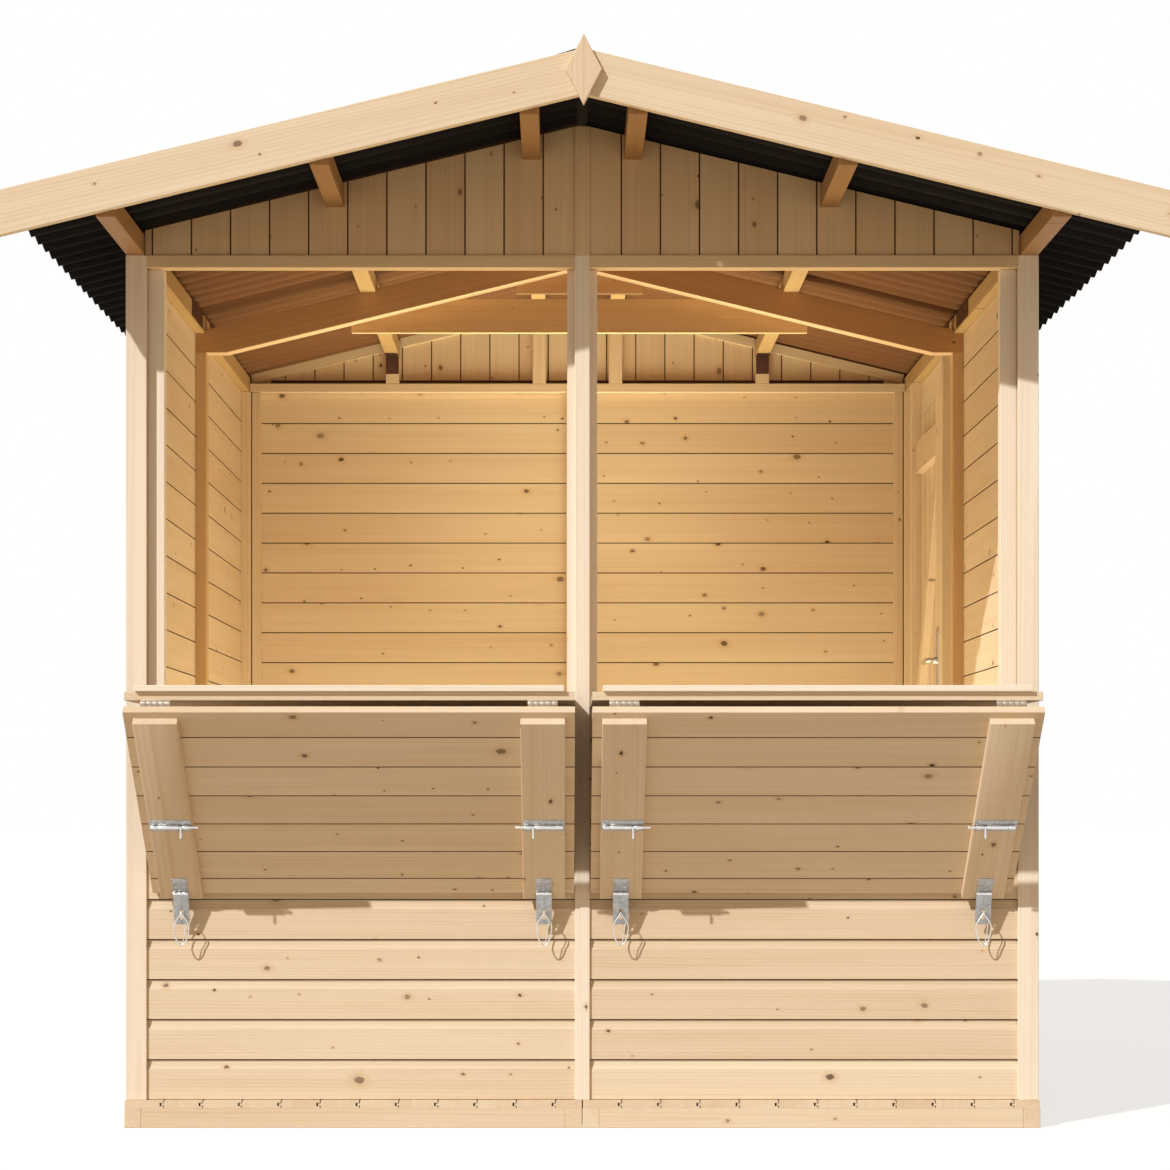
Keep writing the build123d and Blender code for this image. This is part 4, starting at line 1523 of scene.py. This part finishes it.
    def _loose_leaf(self, piece: Workpiece, place: Matrix) -> None:
        """Hanging leaf with a rounded foot and a slot.

        Args:
            piece: The hasp.
            place: Frame at the knuckle: X to the right, Y up along the leaf, Z out of its front.
        """
        half, corner, foot = self.hasp_width / 2, self.hasp_corner, -self.hasp_leaves[1]
        slot, reach, setback = self.hasp_slot
        middle = foot + setback
        left = [(-half, 0.0), *arc((-half + corner, foot + corner), corner, 1.0, 1.5, 6), (0.0, foot)]
        left += arc((0.0, middle - reach), slot, -0.5, -1.0, 4) + arc((0.0, middle + reach), slot, 1.0, 0.5, 4)
        left.append((0.0, 0.0))
        right = [(-px, py) for px, py in reversed(left)]
        for outline in (left, right):
            piece.add(outline_plate(outline, self.hasp_plate, 0.3 * MM), place)

    def _clip(self, piece: Workpiece, place: Matrix) -> None:
        """Wire clip that hangs from a staple through the hasp's slot.

        Args:
            piece: The clips.
            place: Upright frame in front of the leaf: X to the right, Y up from the knuckle, Z to the front.
        """
        half = [(0.5, -44), (5, -50), (13, -62), (17.5, -70), (16, -84), (12.5, -99), (7, -110)]
        loop = [(x, y, 0.02 * (y + 44)) for x, y in half] + [(0.0, -114.5, -1.4)]
        loop += [(-x, y, 0.02 * (y + 44)) for x, y in reversed(half)]
        leg = [(-2.6, -43, -7), (-2.6, -43, 0.5), (-1.6, -42.6, 3.4)]
        staple = leg + [(-x, y, z) for x, y, z in reversed(leg)]
        gate = [(9.5, -64, 0.4), (8.6, -78, -0.4), (6.0, -96, -1.0), (2.0, -111, -1.3)]
        for path, radius, closed in ((loop, 1.45, True), (staple, 1.5, False), (gate, 1.0, False)):
            piece.add(bent_wire([Vector(p) * MM for p in path], radius * MM, closed), place)


@dataclass
class Brackets:
    """Smooth steel plates that tie the purlins to the truss and to the gables' studs."""

    finishes: Finishes
    purlin_face: float = 0.965
    splice: tuple[float, float, float, float] = (0.067, 0.253, 1.9265, 1.9660)
    stud_x: float = 0.5447
    stud_y: float = 0.931
    stud_head: float = 2.0285
    angle: Triple = (0.038, 0.053, 0.002)

    def build(self) -> None:
        """Set the plates on both sides and at both ends."""
        piece = Workpiece("roof_brackets", 66)
        near, far, low, high = self.splice
        width, leg, thick = self.angle
        for side in (-1, 1):
            for end in (-1, 1):
                middle = (side * (self.purlin_face - thick / 2), end * (near + far) / 2, (low + high) / 2)
                piece.add(bar((thick, far - near, high - low), 0.4 * MM, middle))
                middle = (side * self.stud_x, end * (self.stud_y - thick / 2), self.stud_head - leg / 2)
                piece.add(bar((width, thick, leg), 0.4 * MM, middle))
                middle = (side * self.stud_x, end * (self.stud_y - leg / 2), self.stud_head - thick / 2)
                piece.add(bar((width, leg, thick), 0.4 * MM, middle))
        # The plates' brown tint is a painted reflection of the roof underside.
        piece.finish(self.finishes.painted_reflection_zinc, Body.HUT)


@dataclass
class Door:
    """Side door's boards, hinges and handle."""

    finishes: Finishes
    face_x: float = 1.003
    thickness: float = 0.016
    near_y: float = 0.213
    far_y: float = 0.749
    low_z: float = 0.068
    high_z: float = 1.822
    pitch: float = 0.0883
    frame_x: float = 0.965
    axis: Pair = (1.012, 0.750)
    hinge_heights: Pair = (0.1925, 1.697)
    strap: Triple = (0.190, 0.036, 0.004)
    strap_nose: float = 0.008
    strap_root: float = 0.050
    barrel: float = 0.0055
    eye_bore: float = 0.0033
    pin: float = 0.003
    bolt_head: Triple = (0.0055, 0.0026, 0.0040)
    wall_x: float = 1.005
    wall_y: float = 0.753
    pin_plate: float = 0.046
    handle: Pair = (0.266, 1.096)
    plate: Triple = (0.040, 0.220, 0.003)
    plate_centre: float = 1.0762
    plate_screw: float = 0.098
    neck: Triple = (0.0105, 0.010, 0.0085)
    lever_radius: float = 0.0068
    key_drop: float = 0.072

    def build(self) -> None:
        """Build the boards and the fittings."""
        self._boards()
        self._straps()
        self._pins()
        self._handle()

    def _boards(self) -> None:
        """Upright boards, the last one ripped to width."""
        piece = Workpiece("door_boards", 61)
        place = frame_matrix((self.face_x - self.thickness, self.far_y, self.low_z), (0, 0, 1), (0, -1, 0))
        board = TonguedBoard(self.thickness, BoardFace.PLAIN)
        BoardRun(place, self.high_z - self.low_z, self.far_y - self.near_y, self.pitch, self.pitch, board).lay(piece)
        piece.finish(self.finishes.boards, Body.DOOR, ["door_leaf"])

    def _bolts(self, piece: Workpiece, x: float, spots: Iterable[Pair]) -> None:
        """Domed bolt heads on an outer face.

        Args:
            piece: The fitting.
            x: Height of the face along X.
            spots: Places as Y and Z.
        """
        turn = Matrix.Rotation(math.pi / 2, 4, "Y")
        radius, height, tip = self.bolt_head
        for y, z in spots:
            piece.add(rod(radius, height, 1.2 * MM, 16, tip), Matrix.Translation((x, y, z)) @ turn)

    def _straps(self) -> None:
        """Tapered straps with a rolled eye that turns on the pin."""
        piece = Workpiece("door_strap_hinges", 62)
        length, height, thick = self.strap
        for z in self.hinge_heights:
            middle = z + height / 2
            end, tip = self.axis[1] - length, height * 0.32
            lower = [(end, -tip * 0.6), (end + self.strap_nose, -tip), (self.far_y - self.strap_root, -height / 2),
                     (self.far_y, -height / 2)]
            outline = lower + [(py, -pz) for py, pz in reversed(lower)]
            place = frame_matrix((self.face_x, 0.0, middle), (0, 1, 0), (0, 0, 1))
            piece.add(outline_plate(outline, thick, 0.6 * MM), place)
            eye = bmesh.new()
            wall = self.barrel - self.eye_bore
            bmesh.ops.create_grid(eye, x_segments=1, y_segments=1, size=0.5,
                                  matrix=Matrix.Translation((self.eye_bore + wall / 2, 0.0, height / 2))
                                  @ Matrix.Rotation(math.pi / 2, 4, "X") @ Matrix.Diagonal((wall, height, 1.0, 1.0)))
            geometry = eye.verts[:] + eye.edges[:] + eye.faces[:]
            bmesh.ops.spin(eye, geom=geometry, cent=(0, 0, 0), axis=(0, 0, 1), angle=2 * math.pi, steps=24,
                           use_merge=True)
            bmesh.ops.remove_doubles(eye, verts=eye.verts, dist=0.01 * MM)
            piece.add(eye, Matrix.Translation((*self.axis, z)))
            spots = [(y, middle) for y in (self.far_y - 0.022, self.far_y - 0.075, end + 0.02)]
            self._bolts(piece, self.face_x + thick, spots)
        piece.finish(self.finishes.zinc, Body.DOOR, ["door_hinge_straps"], smooth=35.0)

    def _pins(self) -> None:
        """Pins on plates screwed to the wall."""
        piece = Workpiece("door_hinge_pins_and_plates", 63)
        _, height, thick = self.strap
        for z in self.hinge_heights:
            top = z - 0.4 * MM
            low = top - height
            middle = (low + top) / 2
            foot = Matrix.Translation((*self.axis, low))
            centre = (self.wall_x + thick / 2, self.wall_y + self.pin_plate / 2, middle)
            piece.add(bar((thick, self.pin_plate, height), 0.6 * MM, centre))
            piece.add(rod(self.barrel, height, 0.6 * MM), foot)
            piece.add(rod(self.pin, height * 2 + 0.3 * MM, 0.6 * MM, 20), foot)
            self._bolts(piece, self.wall_x + thick, [(self.wall_y + dy, middle) for dy in (0.018, 0.036)])
        piece.finish(self.finishes.zinc, Body.HUT, ["door_hinge_pins"], smooth=35.0)

    def _handle(self) -> None:
        """Long plates with a lever on each face and a keyhole under it."""
        piece = Workpiece("door_lever_handles", 64)
        holes = Workpiece("door_keyholes", 65)
        y, z = self.handle
        width, height, thick = self.plate
        for face, out in ((self.frame_x, -1), (self.face_x, 1)):
            place = frame_matrix((face, y, 0.0), (0, out, 0), (0, 0, 1))
            outline = self._rounded(width, height, self.plate_centre)
            piece.add(outline_plate(outline, thick, 0.8 * MM), place)
            foot, rise, tip = self.neck
            piece.add(rod(foot, rise, 1.2 * MM, 28, tip), place @ Matrix.Translation((0.0, z, thick)))
            lever = [(0.0, z, thick), (0.0, z, 0.018), (0.001 * out, z, 0.0265), (0.008 * out, z, 0.0295),
                     (0.03 * out, z, 0.0295), (0.06 * out, z - 0.001, 0.0290), (0.092 * out, z - 0.001, 0.0275),
                     (0.103 * out, z - 0.0005, 0.0245)]
            piece.add(bent_wire(lever, self.lever_radius, False), place)
            for dz in (-self.plate_screw, self.plate_screw):
                head = rod(0.0038, 1.2 * MM, 0.4 * MM, 14, 0.0028)
                piece.add(head, place @ Matrix.Translation((0.0, self.plate_centre + dz, thick)))
            # Keyhole: a dark disc and slit that paint the shadow inside the hole.
            key = rod(0.0042, 0.5 * MM, 0.0, 18)
            holes.add(key, place @ Matrix.Translation((0.0, z - self.key_drop, thick)))
            slit = bar((0.0034, 0.012, 0.5 * MM), 0.0, (0.0, z - self.key_drop - 7 * MM, thick + 0.25 * MM))
            holes.add(slit, place)
        piece.finish(self.finishes.polished, Body.DOOR, ["door_handle"], smooth=40.0)
        holes.finish(self.finishes.shadow, Body.DOOR)

    @staticmethod
    def _rounded(width: float, height: float, middle: float) -> list[Pair]:
        """Outline of an upright plate with round ends.

        Args:
            width: Its width.
            height: Its whole height.
            middle: Height of its middle.

        Returns:
            Corners of the outline in order.
        """
        half, reach = width / 2, height / 2 - width / 2
        return arc((0.0, middle + reach), half, 0.0, 1.0, 12) + arc((0.0, middle - reach), half, 1.0, 2.0, 12)


@dataclass
class Timbers:
    """All planed timbers, from the CAD nodes."""

    yard: Timberyard
    first_seed: int = 71
    upright: tuple[str, str] = ("gable_stud_timbers", "finial_diamonds")

    def build(self) -> None:
        """Plane every timber, from rows of a piece's name, its stock and its CAD nodes."""
        rows = (
            ("floor_joist_timbers", Stock.SILL, "floor_joists"),
            ("floor_bearer_timbers", Stock.SILL, "floor_bearers"),
            ("wall_rail_timbers", Stock.SILL, "wall_rails"),
            ("wall_stud_timbers", Stock.SILL, "wall_studs"),
            ("side_stud_timbers", Stock.SILL, "side_studs"),
            ("gable_stud_timbers", Stock.SILL, "gable_studs"),
            ("truss_post_timbers", Stock.EAVES, "truss_posts"),
            ("rafter_timbers", Stock.FRAME, "rafter_left", "rafter_right"),
            ("collar_tie_board", Stock.EAVES, "collar_tie"),
            ("ridge_gusset_board", Stock.FRAME, "ridge_gusset"),
            ("purlin_timbers", Stock.PURLIN, "purlins"),
            ("wall_trim_strips", Stock.TRIM, "wall_trims"),
            ("gable_trim_strips", Stock.SHADE, "gable_trims"),
            ("front_post_timbers", Stock.TRIM, "front_posts"),
            ("front_header_timbers", Stock.SHADE, "front_header"),
            ("bargeboard_planks", Stock.BOARD, "bargeboards_left", "bargeboards_right"),
            ("finial_diamonds", Stock.BOARD, "finials"),
            ("counter_lip_strips", Stock.TRIM, "counter_lips"),
            ("flap_batten_boards", Stock.BOARD, "flap_battens"),
            ("door_stile_board", Stock.BOARD, "door_stile"),
            ("door_ledge_boards", Stock.BOARD, "door_ledges"),
            ("door_brace_boards", Stock.BOARD, "door_braces"),
        )
        for seed, (name, stock, *nodes) in enumerate(rows, self.first_seed):
            body = Body.DOOR if name.startswith("door") else Body.HUT
            self.yard.plane(name, nodes, stock, body, seed, name in self.upright)


@dataclass
class Studio:
    """Pale floor, soft light and the camera."""

    eye: Triple = (-0.0425, -6.663, 0.721)
    lens: float = 79.35
    shift: Pair = (0.0188, 0.1838)
    sun_travel: Triple = (0.90, 1.00, -0.96)
    sun_colour: Colour = (0.92, 0.96, 1.0)
    sun_strength: float = 3.3
    sun_angle: float = 0.9
    fill: Colour = (1.0, 0.84, 0.66)
    fill_strength: float = 0.43
    room_colour: Colour = (1.0, 0.96, 0.66)
    rooms: tuple[tuple[float, float, float, float, float], ...] = ((24.5, 0.0, 0.13, 1.7, 180.0),
                                                                   (6.5, 0.30, 0.98, 0.9, 100.0))
    floor_half: float = 60.0
    floor_seen: float = 0.35
    floor_bounce: Colour = (0.58, 0.50, 0.395)
    floor_glow: float = 0.70

    def build(self) -> None:
        """Set up floor, light, background and camera."""
        self._floor()
        self._lights()
        self._world()
        self._camera()
        bpy.context.scene.view_settings.view_transform = "Standard"

    @staticmethod
    def _set_up(name: str, data: bpy.types.ID) -> bpy.types.Object:
        """Put a lamp, camera or mesh into the scene.

        Args:
            name: Name of the object.
            data: What it shows.

        Returns:
            The object.
        """
        made = bpy.data.objects.new(name, data)
        bpy.context.scene.collection.objects.link(made)
        return made

    @staticmethod
    def _seen(tree: bpy.types.NodeTree) -> Socket:
        """Whether a ray comes from the camera, or from it by way of gloss or glass.

        Args:
            tree: Node tree of a material or the world.

        Returns:
            Socket that is 1 for such a ray and 0 for the rest.
        """
        path = tree.nodes.new("ShaderNodeLightPath").outputs
        seen = path["Is Camera Ray"]
        for other in ("Is Glossy Ray", "Is Transmission Ray"):
            either = tree.nodes.new("ShaderNodeMath")
            either.operation = "MAXIMUM"
            tree.links.new(seen, either.inputs[0])
            tree.links.new(path[other], either.inputs[1])
            seen = either.outputs[0]
        return seen

    def _floor(self) -> None:
        """Pale floor that keeps the hut's shadow and otherwise shows white."""
        bm = bmesh.new()
        bmesh.ops.create_grid(bm, x_segments=1, y_segments=1, size=self.floor_half)
        mesh = bpy.data.meshes.new("floor")
        bm.to_mesh(mesh)
        bm.free()
        s = Shader("pale_floor")
        seen = self._seen(s.tree)
        colour = s.blend(seen, self.floor_bounce, (self.floor_seen,) * 3)
        glow = s.math("MULTIPLY", seen, self.floor_glow)
        mesh.materials.append(s.dress(Base_Color=colour, Roughness=0.9, Specular_IOR_Level=0.0,
                                      Emission_Color=(1.0, 1.0, 1.0), Emission_Strength=glow))
        self._set_up("floor", mesh)

    def _lights(self) -> None:
        """A sun from the upper left and soft lights in the room, which shine upwards."""
        sun = bpy.data.lights.new("sun", "SUN")
        sun.energy = self.sun_strength
        sun.color = self.sun_colour
        sun.angle = math.radians(self.sun_angle)
        self._set_up("sun", sun).rotation_euler = Vector(self.sun_travel).to_track_quat("-Z", "Y").to_euler()
        for power, y, z, size, spread in self.rooms:
            room = bpy.data.lights.new("room", "AREA")
            room.energy = power
            room.color = self.room_colour
            room.size = size
            room.spread = math.radians(spread)
            glow = self._set_up("room", room)
            glow.location = (0.0, y, z)
            glow.rotation_euler = (math.pi, 0.0, 0.0)
            glow.visible_camera = False

    def _world(self) -> None:
        """Soft fill, with white behind the hut."""
        world = bpy.data.worlds.new("studio")
        world.use_nodes = True
        tree = world.node_tree
        soft = tree.nodes["Background"]
        soft.inputs["Color"].default_value = (*self.fill, 1.0)
        soft.inputs["Strength"].default_value = self.fill_strength
        white = tree.nodes.new("ShaderNodeBackground")
        white.inputs["Color"].default_value = (1.0, 1.0, 1.0, 1.0)
        mixed = tree.nodes.new("ShaderNodeMixShader")
        for source, socket in zip((self._seen(tree), soft.outputs[0], white.outputs[0]), mixed.inputs):
            tree.links.new(source, socket)
        tree.links.new(mixed.outputs[0], tree.nodes["World Output"].inputs["Surface"])
        bpy.context.scene.world = world

    def _camera(self) -> None:
        """Level camera in front of the hut, shifted up as the photograph is framed."""
        lens = bpy.data.cameras.new("camera")
        lens.lens = self.lens
        lens.sensor_width = 36.0
        lens.sensor_fit = "HORIZONTAL"
        lens.shift_x, lens.shift_y = self.shift
        lens.clip_end = 300.0
        camera = self._set_up("camera", lens)
        camera.location = self.eye
        camera.rotation_euler = (math.pi / 2, 0.0, 0.0)
        bpy.context.scene.camera = camera


def main() -> None:
    logging.basicConfig(level=logging.INFO, format="%(name)s %(message)s")
    finishes = Finishes()
    Walls(finishes).build()
    Floor(finishes).build()
    Timbers(Timberyard(finishes)).build()
    Roof(finishes).build()
    Hatches(finishes).build()
    Door(finishes).build()
    Brackets(finishes).build()
    Studio().build()


if __name__ == "__main__":
    main()
